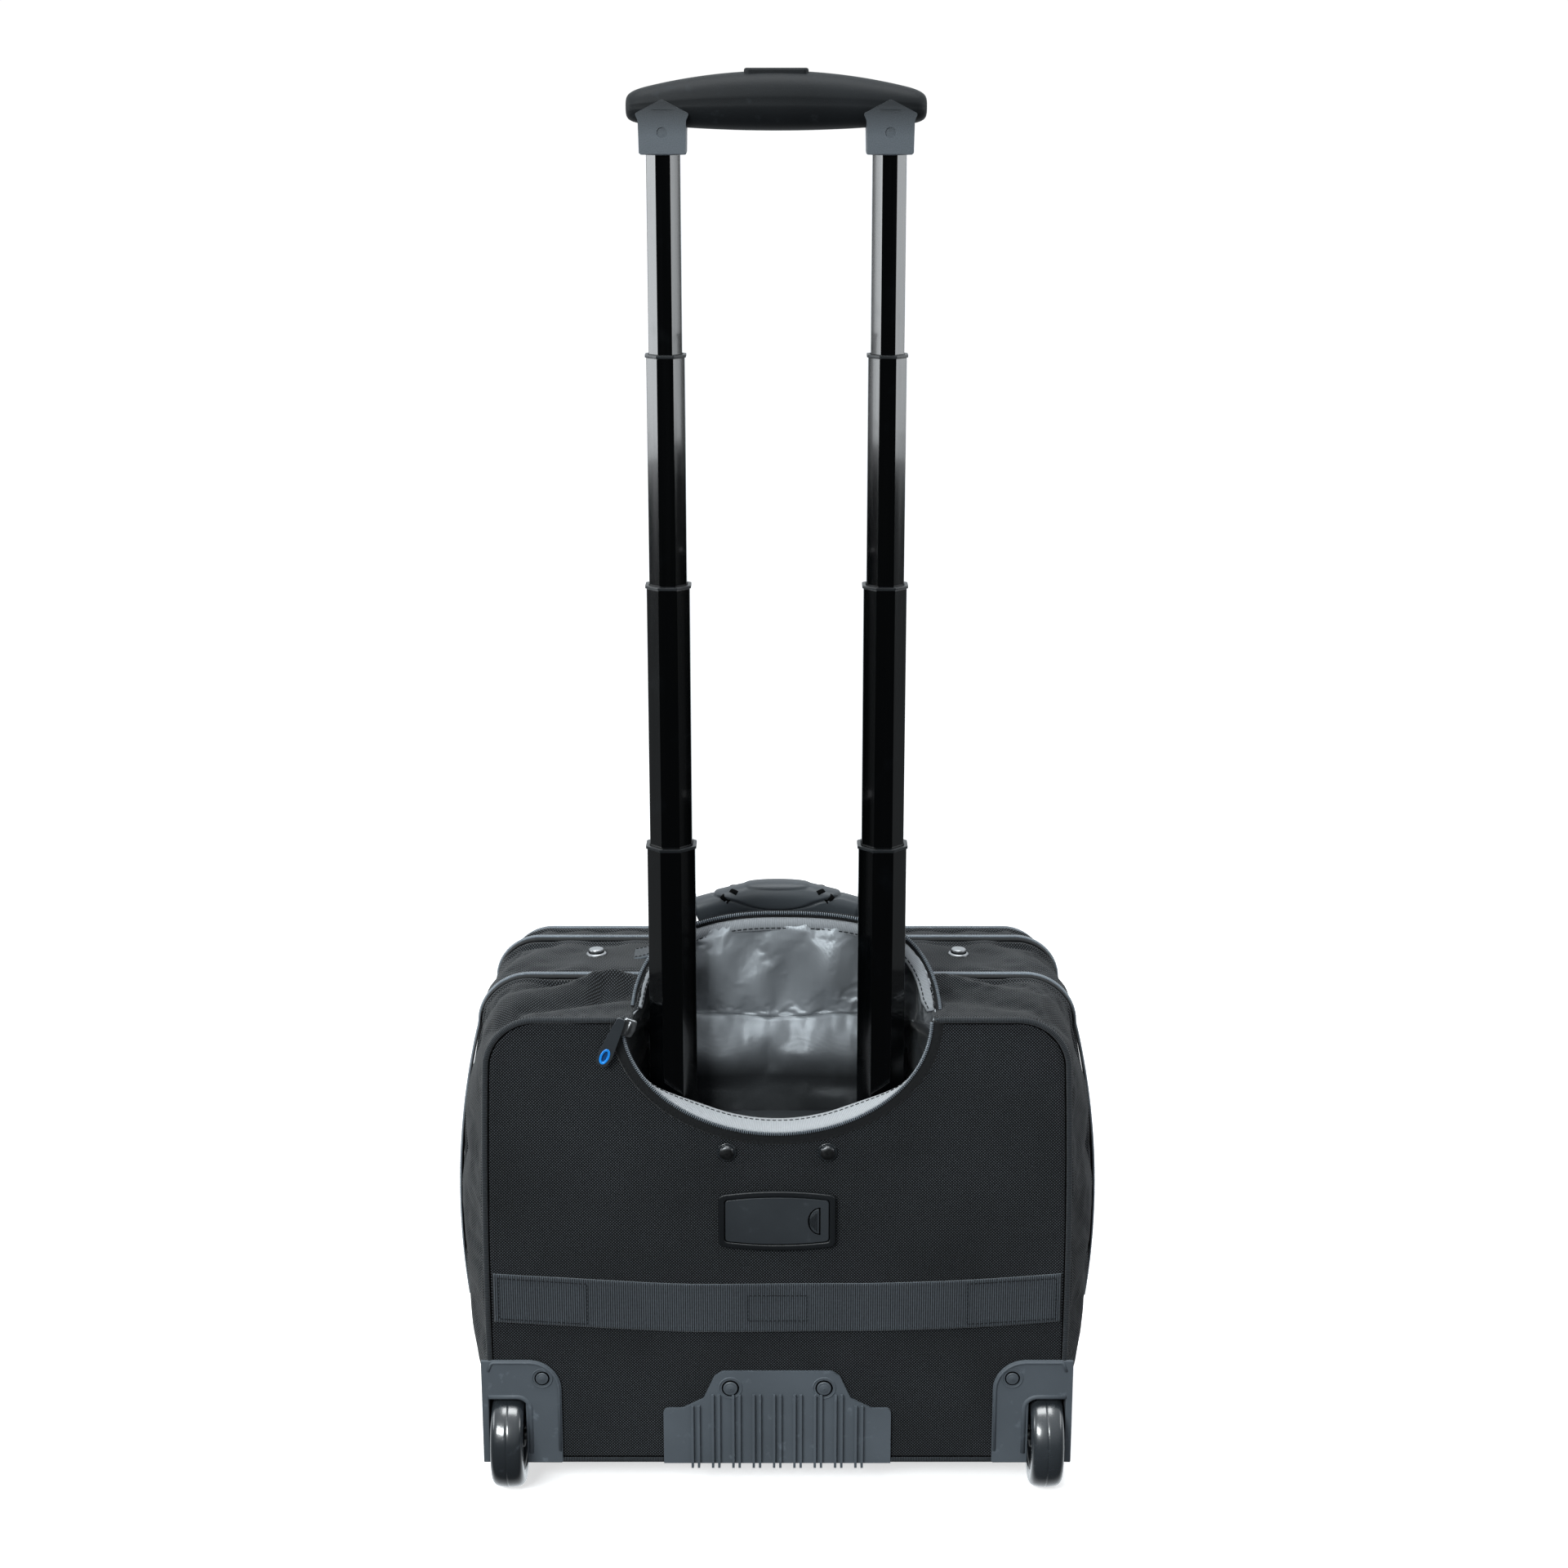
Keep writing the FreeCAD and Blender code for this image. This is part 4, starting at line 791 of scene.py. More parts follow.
def gusset(name, depths, start, slack, pressure, cap, shape=None, housing=False, replaces=(),
           body="case", thick=2.6, lows=None):
    """A padded wall round the bag between two seams."""
    lows = [BAG_LOW] * len(depths) if lows is None else lows
    points = np.stack([outline(depth, start, low) for depth, low in zip(depths, lows)], 1)
    if start:
        # the wall's left end is drawn in under the flap's corner
        points[..., 0] += 9.0 * np.exp(-((points[..., 0] + start) / 16.0) ** 2) * (points[..., 2] > 345)
    closed = (not start, False)
    pinned = np.zeros(points.shape[:2])
    pinned[:, 0] = pinned[:, -1] = 1
    if start:
        pinned[0] = pinned[-1] = 1
    hidden = np.zeros(points.shape[:2], bool)
    if housing:
        hidden = ((np.abs(points[..., 0]) > GUARD_INSIDE - 0.1) & (points[..., 2] < HOUSE_TOP + 0.1)
                  & (points[..., 1] < GUARD_DEEP + 0.1))
        pinned[hidden] = 1
    pinned[points[..., 2] < BAG_LOW + 1] = 1
    if shape is not None:
        points = points + shape(points) * (1 - pinned)[..., None]
    points = relax(points, pinned, slack, pressure, cap, wrap=closed)
    skip = None
    if housing:
        skip = np.repeat(np.repeat(all_round(hidden), 3, 0), 3, 1)
    points = refine(refine(points, 3, 0, closed[0]), 3, 1)
    flat = cloth_map(points, closed)
    normals = grid_normals(points, closed)
    run = points[..., 1]
    near = np.minimum(run - run.min(1, keepdims=True), run.max(1, keepdims=True) - run)
    welt = 1.5 * np.exp(-((near - 2.2) / 1.7) ** 2) - 0.8 * np.exp(-((near - 5.4) / 1.0) ** 2)
    uneven = 0.40 * ripple(points, 60, 3) + 0.12 * ripple(points, 22, 4)
    settle = np.clip(near / 8, 0, 1)
    points = points + normals * (welt + uneven * settle)[..., None]
    piece = sewn(name, points, thick, flat, body, "ballistic_fabric", FABRIC, replaces, skip=skip,
                 wrap=closed)
    return points, grid_normals(points, closed)


def side_sag(points):
    """The sides' slow billows: a vertical swell between the seams and creases towards the corners."""
    x, depth, z = points[..., 0], points[..., 1], points[..., 2]
    beside = np.clip((np.abs(x) - 190) / 20, 0, 1) * np.clip((z - 90) / 60, 0, 1)
    crease = 1.6 * np.sin((z + 0.9 * depth) / 17.0) * np.exp(-((z - 300) / 60.0) ** 2)
    crease += 1.2 * np.sin((z - 1.1 * depth) / 21.0) * np.exp(-((z - 150) / 50.0) ** 2)
    shift = np.zeros_like(points)
    shift[..., 0] = np.sign(x) * beside * crease
    return shift


def rear_shape(points):
    """The rear wall: slack beside the handle opening folds up into a ridge towards the zipper."""
    x, depth, z = points[..., 0], points[..., 1], points[..., 2]
    shift = side_sag(points)
    on_top = np.clip((z - 345) / 20, 0, 1)
    share = np.clip((np.abs(x) - MOUTH_HALF) / 80, 0, 1)
    # the ridge runs from the corner's back to the front of the opening's end
    ridge = 84 - 34 * share
    left = 1 / (1 + np.exp(x / 20.0))
    height = (5.0 + 5.0 * left) * np.exp(-((share - 0.16) / 0.30) ** 2) + 2.0
    fold = height * np.exp(-(np.abs(depth - ridge) / 10) ** 1.4)
    fold -= (4.0 + 3.5 * left) * np.exp(-((depth - ridge + 27) / 12) ** 2)
    fold -= (2.0 + 4.5 * left) * np.exp(-((depth - ridge - 15) / 7) ** 2 - ((share - 0.55) / 0.4) ** 2)
    # the pinch below the ridge, towards the opening's left end
    pinch = (x + 122 + 0.25 * (84 - depth)) / 5.5
    fold -= 4.0 * left * np.exp(-pinch ** 2 - ((depth - 62) / 18) ** 2)
    shift[..., 2] = on_top * fold * np.clip((REAR - depth) / 10, 0, 1) * np.clip(depth / 12, 0, 1)
    return shift


def middle_shape(points):
    """The middle wall sinks between its seams on top, with folds beside the studs."""
    x, depth, z = points[..., 0], points[..., 1], points[..., 2]
    shift = side_sag(points)
    on_top = np.clip((z - 345) / 20, 0, 1)
    sink = -2.2 * np.sin(math.pi * np.clip((depth - REAR) / (MIDDLE - REAR), 0, 1))
    fold = 2.2 * np.sin((np.abs(x) * 0.8 + depth * 1.1) / 11.0) * np.clip((np.abs(x) - 140) / 30, 0, 1)
    between = np.clip((depth - REAR - 2) / 12, 0, 1) * np.clip((MIDDLE - 2 - depth) / 12, 0, 1)
    shift[..., 2] = on_top * (sink + fold * between)
    return shift


rear_depths = list(np.linspace(2.2, GUARD_DEEP, 9)) + list(np.linspace(GUARD_DEEP, REAR - 6.2, 6))[1:]
middle_depths = np.linspace(REAR + 6.8, MIDDLE - 6.2, 13)
gusset("rear_gusset_cloth", rear_depths, MOUTH_HALF + 2, 0.012, 0.8, 5, rear_shape, housing=True,
       replaces=("rear_gusset",))
middle_grid, middle_up = gusset("middle_gusset_cloth", middle_depths, 0.0, 0.009, 0.8, 4, middle_shape,
                                replaces=("middle_gusset",))

# ---------------------------------------------------------------- back panel

PANEL_OPEN = 112.0  # half width of the outline's gap above the handle opening
STUD_X, STUD_Z = 36.0, 270.5


def back_sheet():
    """The back panel between the handle opening and the bag's outline."""
    rim = outline(0, PANEL_OPEN)
    rim = refine(rim, 3, 0)
    share = lengths(rim) / lengths(rim)[-1]
    turn = math.pi * share
    inner = np.stack([MOUTH_HALF * np.cos(turn), 0 * turn, BAG_TOP - MOUTH_DEEP * np.sin(turn)], 1)
    steps = np.linspace(0, 1, 70)
    return inner[:, None] + (rim - inner)[:, None] * steps[None, :, None], steps


def dimple(points, x, z, radius, deep):
    return -deep * np.exp(-(((points[..., 0] - x) ** 2 + (points[..., 2] - z) ** 2) / radius ** 2))


panel, panel_steps = back_sheet()
panel_cut = panel[..., [0, 2]]
swell = 0.55 * ripple(panel_cut, 120, 11) + 0.3 * ripple(panel_cut, 45, 12)
swell = swell * np.clip(panel_steps * (1 - panel_steps) * 14, 0, 1)[None, :]
for side in (-1, 1):
    swell = swell + dimple(panel, side * STUD_X, STUD_Z, 16, 0.9) + dimple(panel, side * 34, 85, 20, 0.7)
    swell = swell + dimple(panel, side * 172, 93, 20, 0.6)
# the seam ditch beside the piping, and the turned edge at the handle opening
edge_gap = np.linalg.norm(panel - panel[:, -1:], axis=-1)
swell = swell + 0.5 * np.exp(-((edge_gap - 6.0) / 3.0) ** 2) - 1.0 * np.exp(-((edge_gap - 1.5) / 1.6) ** 2)
panel[..., 1] = np.minimum(-swell, 0.9)
hidden = (np.abs(panel[..., 0]) > GUARD_INSIDE) & (panel[..., 2] < HOUSE_TOP)
back_piece = sewn("back_panel_cloth", panel, 2.0, panel_cut, "case", "ballistic_fabric", FABRIC,
                  ("back_panel",), skip=all_round(hidden))

# the piping that edges it, in the stretches between the wheel guards and the kick plate
KICK_HALF = node_box("kick_plate")[1][0]
piping = Build()
rim = refine(outline(0, PANEL_OPEN + 2), 3, 0)
high = rim[:, 2] >= HOUSE_TOP
low = (rim[:, 2] < BAG_LOW + 3) & (np.abs(rim[:, 0]) < GUARD_INSIDE) & (np.abs(rim[:, 0]) > KICK_HALF - 2)
for keep in (high & (rim[:, 0] > 0), high & (rim[:, 0] < 0), low & (rim[:, 0] > 0), low & (rim[:, 0] < 0)):
    path = rim[keep]
    slope = unit(np.gradient(path, axis=0))
    away = np.stack([-slope[:, 2], 0 * slope[:, 0], slope[:, 0]], 1)
    away *= np.sign((away * (path - (0, 0, 200))).sum(1))[:, None]
    line = path + away * 0.6 + (0, 0.2, 0)
    around = cloth_map(swept(line, ring(2.15, 13), away))
    piping.tube(swept(line, ring(2.15, 12), away), around)
    # the flange beyond the cord, where it is sewn to the wall
    sleeve(piping, path + away * 0.4 + (0, 3.2, 0), away, 1.3, 0, 8, 0.6)
    # a thin near-black cord in the ditch between the cord and the panel: painted shade in the seam
    sleeve(piping, path - away * 1.7 + (0, 0.35, 0), away, 0.85, 1, 8)
piping.make("piping_cord", "case", "ballistic_fabric", [BINDING_BLACK, RECESS_SHADE], ("back_piping",))

# ---------------------------------------------------------------- zippers of the sections

def zipper_half(name, depth, side, body, replaces, lift, wide=6.4):
    """Half a coil zipper: its tape from the chain outwards, and its coil."""
    path, normals = along_top(depth)
    path = path + normals * lift
    section_line = [(side * 0.5, 0.4), (side * 2.0, 0.5), (side * 2.9, 0.2), (side * wide, 0.0)]
    if side > 0:
        section_line.reverse()
    fine = refine(np.concatenate([path, normals], 1)[:, None], 2, 0)[:, 0]
    path, normals = fine[:, :3], unit(fine[:, 3:])
    sheet = swept(path, section_line, normals)
    sewn(name + "_tape", sheet, 0.5, cloth_map(sheet), body, "zipper_tape", [TAPE], replaces)
    chain = Build()
    beside = np.cross(normals, unit(np.gradient(path, axis=0))) * side
    teeth(chain, path + normals * 0.5 + beside, normals, -side, 2.6, 3.8, 2.3, 1.3 * (side > 0))
    chain.make(name + "_coil", body, "zipper_tape", [COIL_GLINT])


def side_of_path():
    """+1 if a step along a path's side axis goes forwards in depth."""
    path, normals = along_top(100.0)
    slope = unit(np.gradient(path, axis=0))
    return math.copysign(1, np.cross(normals, slope)[10, 1])


FORWARDS = side_of_path()
for name, depth, lift, rear_body, front_body in (
    ("compartment_zipper", REAR, 1.2, "case", "case"),
    ("main_zipper", MIDDLE + 0.2, 1.2, "case", "front_compartment"),
    ("pocket_zipper", FRONT - 3.6, -0.4, "front_compartment", "front_compartment"),
):
    zipper_half(f"{name}_rear", depth, -FORWARDS, rear_body, (name,), lift)
    zipper_half(f"{name}_front", depth, FORWARDS, front_body, (), lift)

# ---------------------------------------------------------------- front compartment

LID_BACK = MIDDLE + 7.0


def backing(name, depths, lows, body):
    """A strip of fabric behind a row of zipper, all the way round, that closes the gap between two walls."""
    points = np.stack([outline(depth, 0.0, low) for depth, low in zip(depths, lows)], 1)
    points = points - grid_normals(points, (True, False)) * 1.7
    closed = (True, False)
    flat = cloth_map(points, closed)
    piece = sewn(name, points, 0.9, flat, body, "ballistic_fabric", [BALLISTIC], wrap=closed)


def lid_low(depth):
    """The underside of the front compartment rises towards the front."""
    share = (depth - MIDDLE - 0.4) / (FRONT - MIDDLE - 0.4)
    return BAG_LOW + np.interp(share, [0, 0.55, 0.85, 1], [1, 6, 17, 34])


lid_depths = np.linspace(LID_BACK, FRONT - 8.0, 8)
gusset("lid_gusset_cloth", lid_depths, 0.0, 0.008, 0.8, 3, replaces=("front_lid",),
       body="front_compartment", lows=[float(lid_low(depth)) for depth in lid_depths])
for name, first, last, body in (
    ("compartment_backing", REAR - 7.6, REAR + 8.2, "case"),
    ("main_backing_rear", MIDDLE - 7.6, MIDDLE - 0.6, "case"),
    ("main_backing_front", MIDDLE + 0.8, LID_BACK + 1.4, "front_compartment"),
    ("pocket_backing", FRONT - 9.4, FRONT - 0.2, "front_compartment"),
):
    depths = np.linspace(first, last, 5)
    lows = [BAG_LOW] * 5 if body == "case" else [float(lid_low(depth)) for depth in depths]
    backing(name, depths, lows, body)


def front_outline(depth, low, inset):
    """Half width of the bag's outline against height at a depth, moved in, for a face panel."""
    flat = half_outline(depth, 0.0, low)
    zs = flat[:, 1]
    keep = (zs < flat[0, 1] - 0.01) & (zs > low + 0.01)
    order = np.argsort(zs[keep])
    return zs[keep][order], flat[keep][order][:, 0] - inset


def face_panel(name, depth, low, inset, rows, columns, crown, thick, body, replaces, materials=FABRIC):
    """A padded panel that faces forwards, with rounded corners and a crowned middle."""
    zs, halves = front_outline(depth, low, inset)
    top = section(depth)[3] - inset
    levels = np.linspace(low + inset + 0.3, top - 0.3, rows)
    half = np.interp(levels, zs, halves)
    share = np.linspace(-1, 1, columns)
    x = half[:, None] * share[None, :]
    z = np.broadcast_to(levels[:, None], x.shape)
    rise = (1 - share[None, :] ** 4) * (1 - np.linspace(-1, 1, rows)[:, None] ** 4)
    y = depth + thick + crown * rise
    points = np.stack([x, y, z], -1)[:, ::-1]
    points = relax(points, framed(points), 0.012, 1.0, 4)
    points = faced(refine(refine(points, 2, 0), 2, 1), "y", 1, 1)
    flat = points[..., [0, 2]]
    uneven = 0.3 * ripple(points, 60, 21) + 0.2 * ripple(points, 24, 22)
    points = points + grid_normals(points) * uneven[..., None]
    piece = sewn(name, points, thick, flat, body, "ballistic_fabric", materials, replaces)


face_panel("lid_face_cloth", FRONT - 3.5, BAG_LOW + 34, 3.0, 34, 40, 1.0, 2.5, "front_compartment", ())
face_panel("front_pocket_cloth", FRONT - 0.2, BAG_LOW + 34, 16.0, 34, 40, 4.2, 2.4, "front_compartment",
           ("pocket_panel",))

# ---------------------------------------------------------------- handle opening

def mouth_curve(grow, count=121, depth=-0.6, start=0.0):
    """The half ellipse of the handle opening, larger by grow, from its right end to its left."""
    turn = np.linspace(start, math.pi - start, count)
    return np.stack([(MOUTH_HALF + grow) * np.cos(turn), np.full(count, depth),
                     BAG_TOP - (MOUTH_DEEP + grow) * np.sin(turn)], 1)


rim_path = mouth_curve(0.0)
tape_profile = ((0.4, -0.9), (2.0, -1.2), (3.0, -1.0), (5.6, -0.9), (7.8, -0.8), (8.6, -0.2))
sheet = np.stack([mouth_curve(grow, depth=depth) for grow, depth in tape_profile], 1)
sheet = faced(sheet, "y", -1, 1)
sewn("opening_tape", sheet, 0.5, cloth_map(sheet), "case", "zipper_tape", [TAPE], ("opening_zipper",))
mouth_coil = Build()
top_slope = unit(np.gradient(rim_path, axis=0))[60]
inwards = math.copysign(1, np.cross(TOWARDS_BACK, top_slope)[2])
teeth(mouth_coil, mouth_curve(0.6, depth=-1.2), TOWARDS_BACK, inwards, high=1.7)
mouth_coil.make("opening_coil", "case", "zipper_tape", [COIL_GLINT])
stitches("opening_stitching", mouth_curve(7.0, depth=-0.95), TOWARDS_BACK, "case", 3.6)

# the grey binding inside the opening's edge, rolled inwards
build = Build()
profile = [(0.6, 0.3), (-1.4, 0.9), (-3.0, 4.0), (-4.8, 8.2), (-6.2, 12.2), (-6.0, 13.6), (-3.6, 10.6),
           (0.6, 2.4)]
lowness = np.clip((np.sin(np.linspace(0.03, math.pi - 0.03, 121)) - 0.5) / 0.4, 0, 1)
lowness = lowness * lowness * (3 - 2 * lowness)
band = []
for grow, depth in profile:
    curve = mouth_curve(0.0, depth=depth, start=0.03)
    curve[:, 1] = 0.3 + (depth - 0.3) * (0.12 + 0.88 * lowness)
    away = unit(curve - (0, depth, BAG_TOP + 10))
    band.append(curve + away * (grow * (0.04 + 0.96 * lowness))[:, None])
band = np.stack(band, 1)
if grid_normals(band)[60, 1, 1] > 0:
    band = band[:, ::-1]
build.tube(band, cloth_map(band, (False, True)))
build.make("opening_binding", "case", "lining_satin", [BINDING_GREY])
stitch_line = (band[:, 3] + band[:, 4]) / 2 if band[0, 0, 1] < 5 else (band[:, -4] + band[:, -5]) / 2
stitch_line = stitch_line[22:-22]
to_middle = unit(np.array([0, 0, BAG_TOP]) - stitch_line * (1, 0, 1))
stitches("opening_binding_stitches", stitch_line, to_middle, "case", 4.0, 0.8)

# ---------------------------------------------------------------- flap

# heights of the flap's foot, edge and two ends, and the depths of its ends and of the well's front
FLAP_ROOT, FLAP_TOP, FLAP_END_TOP = 353.0, 427.0, 366.0
FLAP_ENDS, WELL_FRONT = 6.0, 60.0


def flap_rim(turn):
    """The flap's edge, from the opening's right end over the top to its left end."""
    up = np.sin(turn)
    across = np.cos(turn)
    x = np.where(across > 0, 112 * np.abs(across) ** 0.75, -99 * np.abs(across) ** 0.9)
    forward = (WELL_FRONT - 1 - FLAP_ENDS) * np.clip(up / 0.62, 0, 1) ** 0.62 - 5 * np.clip(up - 0.62, 0, 1)
    return np.stack([x, FLAP_ENDS + forward, FLAP_END_TOP + (FLAP_TOP - FLAP_END_TOP) * up ** 0.88], -1)


def flap_seam(turn):
    """The seam at the flap's foot, pushed forward behind the tubes and lower in the middle."""
    across = np.cos(turn)
    reach = np.clip((1 - np.abs(across)) / 0.24, 0, 1)
    smooth = reach * reach * (3 - 2 * reach)
    z = 365 + (FLAP_ROOT - 365) * smooth + 1.4 * np.sin(7 * turn) * smooth
    return np.stack([MOUTH_HALF * across, FLAP_ENDS + (WELL_FRONT - 2 - FLAP_ENDS) * smooth, z], -1)



turns = np.linspace(0.035, math.pi - 0.06, 110)
climb = np.linspace(0, 1, 34)
foot, head = flap_seam(turns), flap_rim(turns)
flap_grid = foot[:, None] + (head - foot)[:, None] * climb[None, :, None]
x, z = flap_grid[..., 0], flap_grid[..., 2]
belly = np.sin(math.pi * climb)[None, :]
middle = np.clip((104 - np.abs(x)) / 30, 0, 1)
gathers = 2.4 * np.sin(x / 4.9 + 0.9 * np.sin(x / 21)) * np.exp(-climb / 0.13)[None, :]
drapes = 4.6 * np.sin(x / 11.5 + 0.022 * (z - 350) + 0.7) + 2.2 * np.sin(x / 6.8 - 0.05 * (z - 350) + 1.3)
flap_grid[..., 1] += middle * (gathers * np.clip(climb / 0.03, 0, 1)[None, :] + belly * (drapes - 2.0))
flap_grid = relax(flap_grid, framed(flap_grid), 0.022, 0, 5, bend=0.6)
flap_grid = faced(refine(refine(flap_grid, 2, 0), 2, 1), "y", -1)
cut = cloth_map(flap_grid)[..., ::-1]
# its edges in the darker grey binding: painted shade
flap_piece = sewn("flap_cloth", flap_grid, 1.3, cut, "flap", "lining_satin", [SATIN, BALLISTIC, BINDING_FLAP_SHADED],
                  ("flap",))

rim_line = flap_grid[:, -1]
rim_run = rim_line[2:-2]
slope = evened(unit(np.gradient(rim_run, axis=0)), 6)
across_flap = np.array([0, WELL_FRONT - 6, 383]) - rim_run  # towards a point in the flap's middle
inward = across_flap - slope * (across_flap * slope).sum(-1, keepdims=True)
inward = evened(unit(inward), 10)
rim_face = evened(unit(np.cross(slope, inward)), 6)
rim_face = rim_face * np.sign(-rim_face[len(rim_face) // 2, 1])
# the binding is narrower where the flap runs out, and most of all behind its left end
share_here = np.clip(np.linalg.norm(flap_grid[2:-2, 0] - rim_run, axis=-1) / 24, 0.30, 1)[:, None]
share_here *= 1 - 0.62 / (1 + np.exp((rim_run[:, :1] + 84) / 4))
build = Build()
binding_fold = [(8.6, 0.3), (8.2, 1.3), (4.6, 1.9), (0.8, 1.5), (-0.8, -0.6), (0.4, -2.4), (7.8, -2.6),
                (8.6, -1.9)]
binding = np.stack([rim_run + inward * along_in * share_here + rim_face * lift
                    for along_in, lift in binding_fold], 1)
inner_ring = grid_normals(binding, (False, True))
if ((inner_ring[:, 2] * rim_face).sum(1)).mean() < 0:
    binding = binding[:, ::-1]
build.tube(binding, cloth_map(binding, (False, True)))
# the flap's binding in the darker grey: painted shade
flap_binding = build.make("flap_binding", "flap", "lining_satin", [BINDING_FLAP_SHADED])
stitch_line = rim_run + inward * 6.6 * share_here + rim_face * 1.65
flap_stitches = stitches("flap_binding_stitches", stitch_line, rim_face, "flap", 4.0, 0.9)
flap_coil = Build()
edge_path = rim_run - inward * 1.6 + rim_face * -0.8
outward_side = math.copysign(1, (np.cross(rim_face, slope) * -inward).sum(1).mean())
tape_line = np.stack([rim_run - inward * 0.2 - rim_face * 1.6, rim_run - inward * 2.6 - rim_face * 1.6,
                      rim_run - inward * 5.6 - rim_face * 2.2], 1)
flap_coil.shell(tape_line, 0.5, cloth_map(tape_line), slots=(1, 1, 1))
teeth(flap_coil, edge_path - inward * 2.0, rim_face, outward_side, reach=2.4, high=1.9)
flap_coil_piece = flap_coil.make("flap_coil", "flap", "zipper_tape", [COIL_GLINT, TAPE])

# ---------------------------------------------------------------- lining of the handle well

WELL_LOW = 62.0
drop = np.linspace(0, 1, 46)
seam = flap_seam(np.linspace(0.0, math.pi, 90))
# below its seam the lining keeps outside and in front of the tubes
reach = np.clip((1 - np.abs(np.cos(np.linspace(0.0, math.pi, 90)))) / 0.12, 0, 1)
floor_depth = FLAP_ENDS + (WELL_FRONT - 3 - FLAP_ENDS) * reach
floor_line = np.stack([seam[:, 0] * 0.985, floor_depth, np.full(len(seam), WELL_LOW)], 1)
away = np.clip(drop / 0.05, 0, 1)
well = seam[:, None] + (floor_line - seam)[:, None] * drop[None, :, None]
well[..., 1] = seam[:, None, 1] + (floor_line - seam)[:, None, 1] * away[None, :]
x, z = well[..., 0], well[..., 2]
hang = np.clip(drop * 12, 0, 1)[None, :] * np.clip((104 - np.abs(x)) / 20, 0, 1)
hang = hang * np.clip((z - 292) / 30, 0.2, 1)
tucks = 1.4 * np.sin(x / 5.1 + 0.9 * np.sin(x / 19)) * np.exp(-drop / 0.06)[None, :]
swags = 3.0 * np.sin(x / 15.0 + z / 40.0 + 0.6) + 1.0 * np.sin(x / 7.0 - z / 19.0)
well[..., 1] += hang * (tucks + swags - 4.5)
well = relax(well, framed(well), 0.012, 0, 3, bend=0.5)
well = faced(refine(refine(well, 2, 0), 2, 1), "y", -1)
well_piece = sewn("well_lining_cloth", well, 0.8, cloth_map(well), "case", "lining_satin", [SATIN],
                  ("handle_well_lining",))

# the strip that joins the flap's seam to the zipper in front of it
bridge_back = refine(flap_seam(np.linspace(0.02, math.pi - 0.02, 60)), 2, 0)
bridge_front = np.stack([bridge_back[:, 0] * 1.01, np.full(len(bridge_back), REAR - 4.6),
                         np.full(len(bridge_back), BAG_TOP + 0.4)], 1)
steps = np.linspace(0, 1, 14)
bridge = bridge_back[:, None] + (bridge_front - bridge_back)[:, None] * steps[None, :, None]
bridge[..., 1] += 2.4
bridge[..., 2] += (2.0 * ripple(bridge, 26, 31) - 3.0) * np.sin(math.pi * steps)[None, :]
bridge = faced(bridge, "z", 1)
bridge_piece = sewn("opening_bridge_cloth", bridge, 1.4, cloth_map(bridge), "case", "ballistic_fabric",
                    [BALLISTIC, SATIN], slots=(0, 1, 0))

# ---------------------------------------------------------------- divider behind the middle section

# lined with the darker satin: painted shade inside the bag
face_panel("divider_cloth", REAR + 1.2, BAG_LOW, 3.2, 30, 36, 1.6, 2.2, "case", ("divider_panel",),
           [SATIN_SHADED, SATIN_SHADED, BINDING_BLACK])

# ---------------------------------------------------------------- webbing band

BAND_LOW, BAND_HIGH = node_box("webbing_band")[0][2], node_box("webbing_band")[1][2]
BAND_HALF, BAND_TALL = 206.0, 38.0


def band_middle(x):
    """The band's middle line: level in the middle and rising to the sides."""
    lift = (BAND_HIGH - BAND_LOW) - BAND_TALL
    return BAND_LOW + BAND_TALL / 2 + lift * np.clip((np.abs(x) - 60) / 146, 0, 1) ** 1.4


across = np.linspace(-BAND_HALF, BAND_HALF, 260)
upward = np.linspace(-0.5, 0.5, 22)
x, share = np.meshgrid(across, upward, indexing="ij")
z = band_middle(x) + share * BAND_TALL + 0.35 * np.sin(x / 31.0)
edge = 0.35 * np.exp(-((np.abs(share) - 0.47) / 0.03) ** 2)
proud = 1.55 + edge + 0.45 * ripple(np.stack([x, z], -1), 60, 41) * (1 - (2 * share) ** 2)
band_points = np.stack([x, -proud, z], -1)
band_points = faced(band_points, "y", -1)
sewn("webbing_band_cloth", band_points, 1.3, np.stack([x, z], -1), "case", "webbing", [WEBBING],
     ("webbing_band",))


def box_stitch(name, x0, x1, inset=3.0):
    """A stitched rectangle on the band."""
    low, top = -BAND_TALL / 2 + inset, BAND_TALL / 2 - inset
    corners = [(x0, low), (x1, low), (x1, top), (x0, top), (x0, low)]
    line = []
    for (xa, la), (xb, lb) in zip(corners, corners[1:]):
        for t in np.linspace(0, 1, 24)[:-1]:
            at_x = xa + (xb - xa) * t
            line.append((at_x, -2.05, float(band_middle(np.array(at_x))) + la + (lb - la) * t))
    line = np.array(line + line[:1])
    stitches(name, line, TOWARDS_BACK, "case", 3.0, 0.7)


box_stitch("band_stitches_left", -202, -138)
box_stitch("band_stitches_right", 138, 202)
box_stitch("band_stitches_middle", -21.5, 21.5, inset=9.0)

# ---------------------------------------------------------------- tag holder

tag_low, tag_high = node_box("tag_frame")
tag_mid = (tag_low[2] + tag_high[2]) / 2
tag_half, tag_tall = tag_high[0], (tag_high[2] - tag_low[2]) / 2


def arched(half, tall, arch, corner, count=14):
    """An outline with straight sides and gently arched top and bottom, its corners rounded."""
    top = [(half * t, tall - arch * t * t) for t in np.linspace(-1, 1, count)]
    corners = top[::-1] + [(-x, -z) for x, z in top[::-1]]
    radii = [0] * len(corners)
    for k in (0, count - 1, count, 2 * count - 1):
        radii[k] = corner
    return [(x, z + tag_mid) for x, z in rounded(corners, radii)]


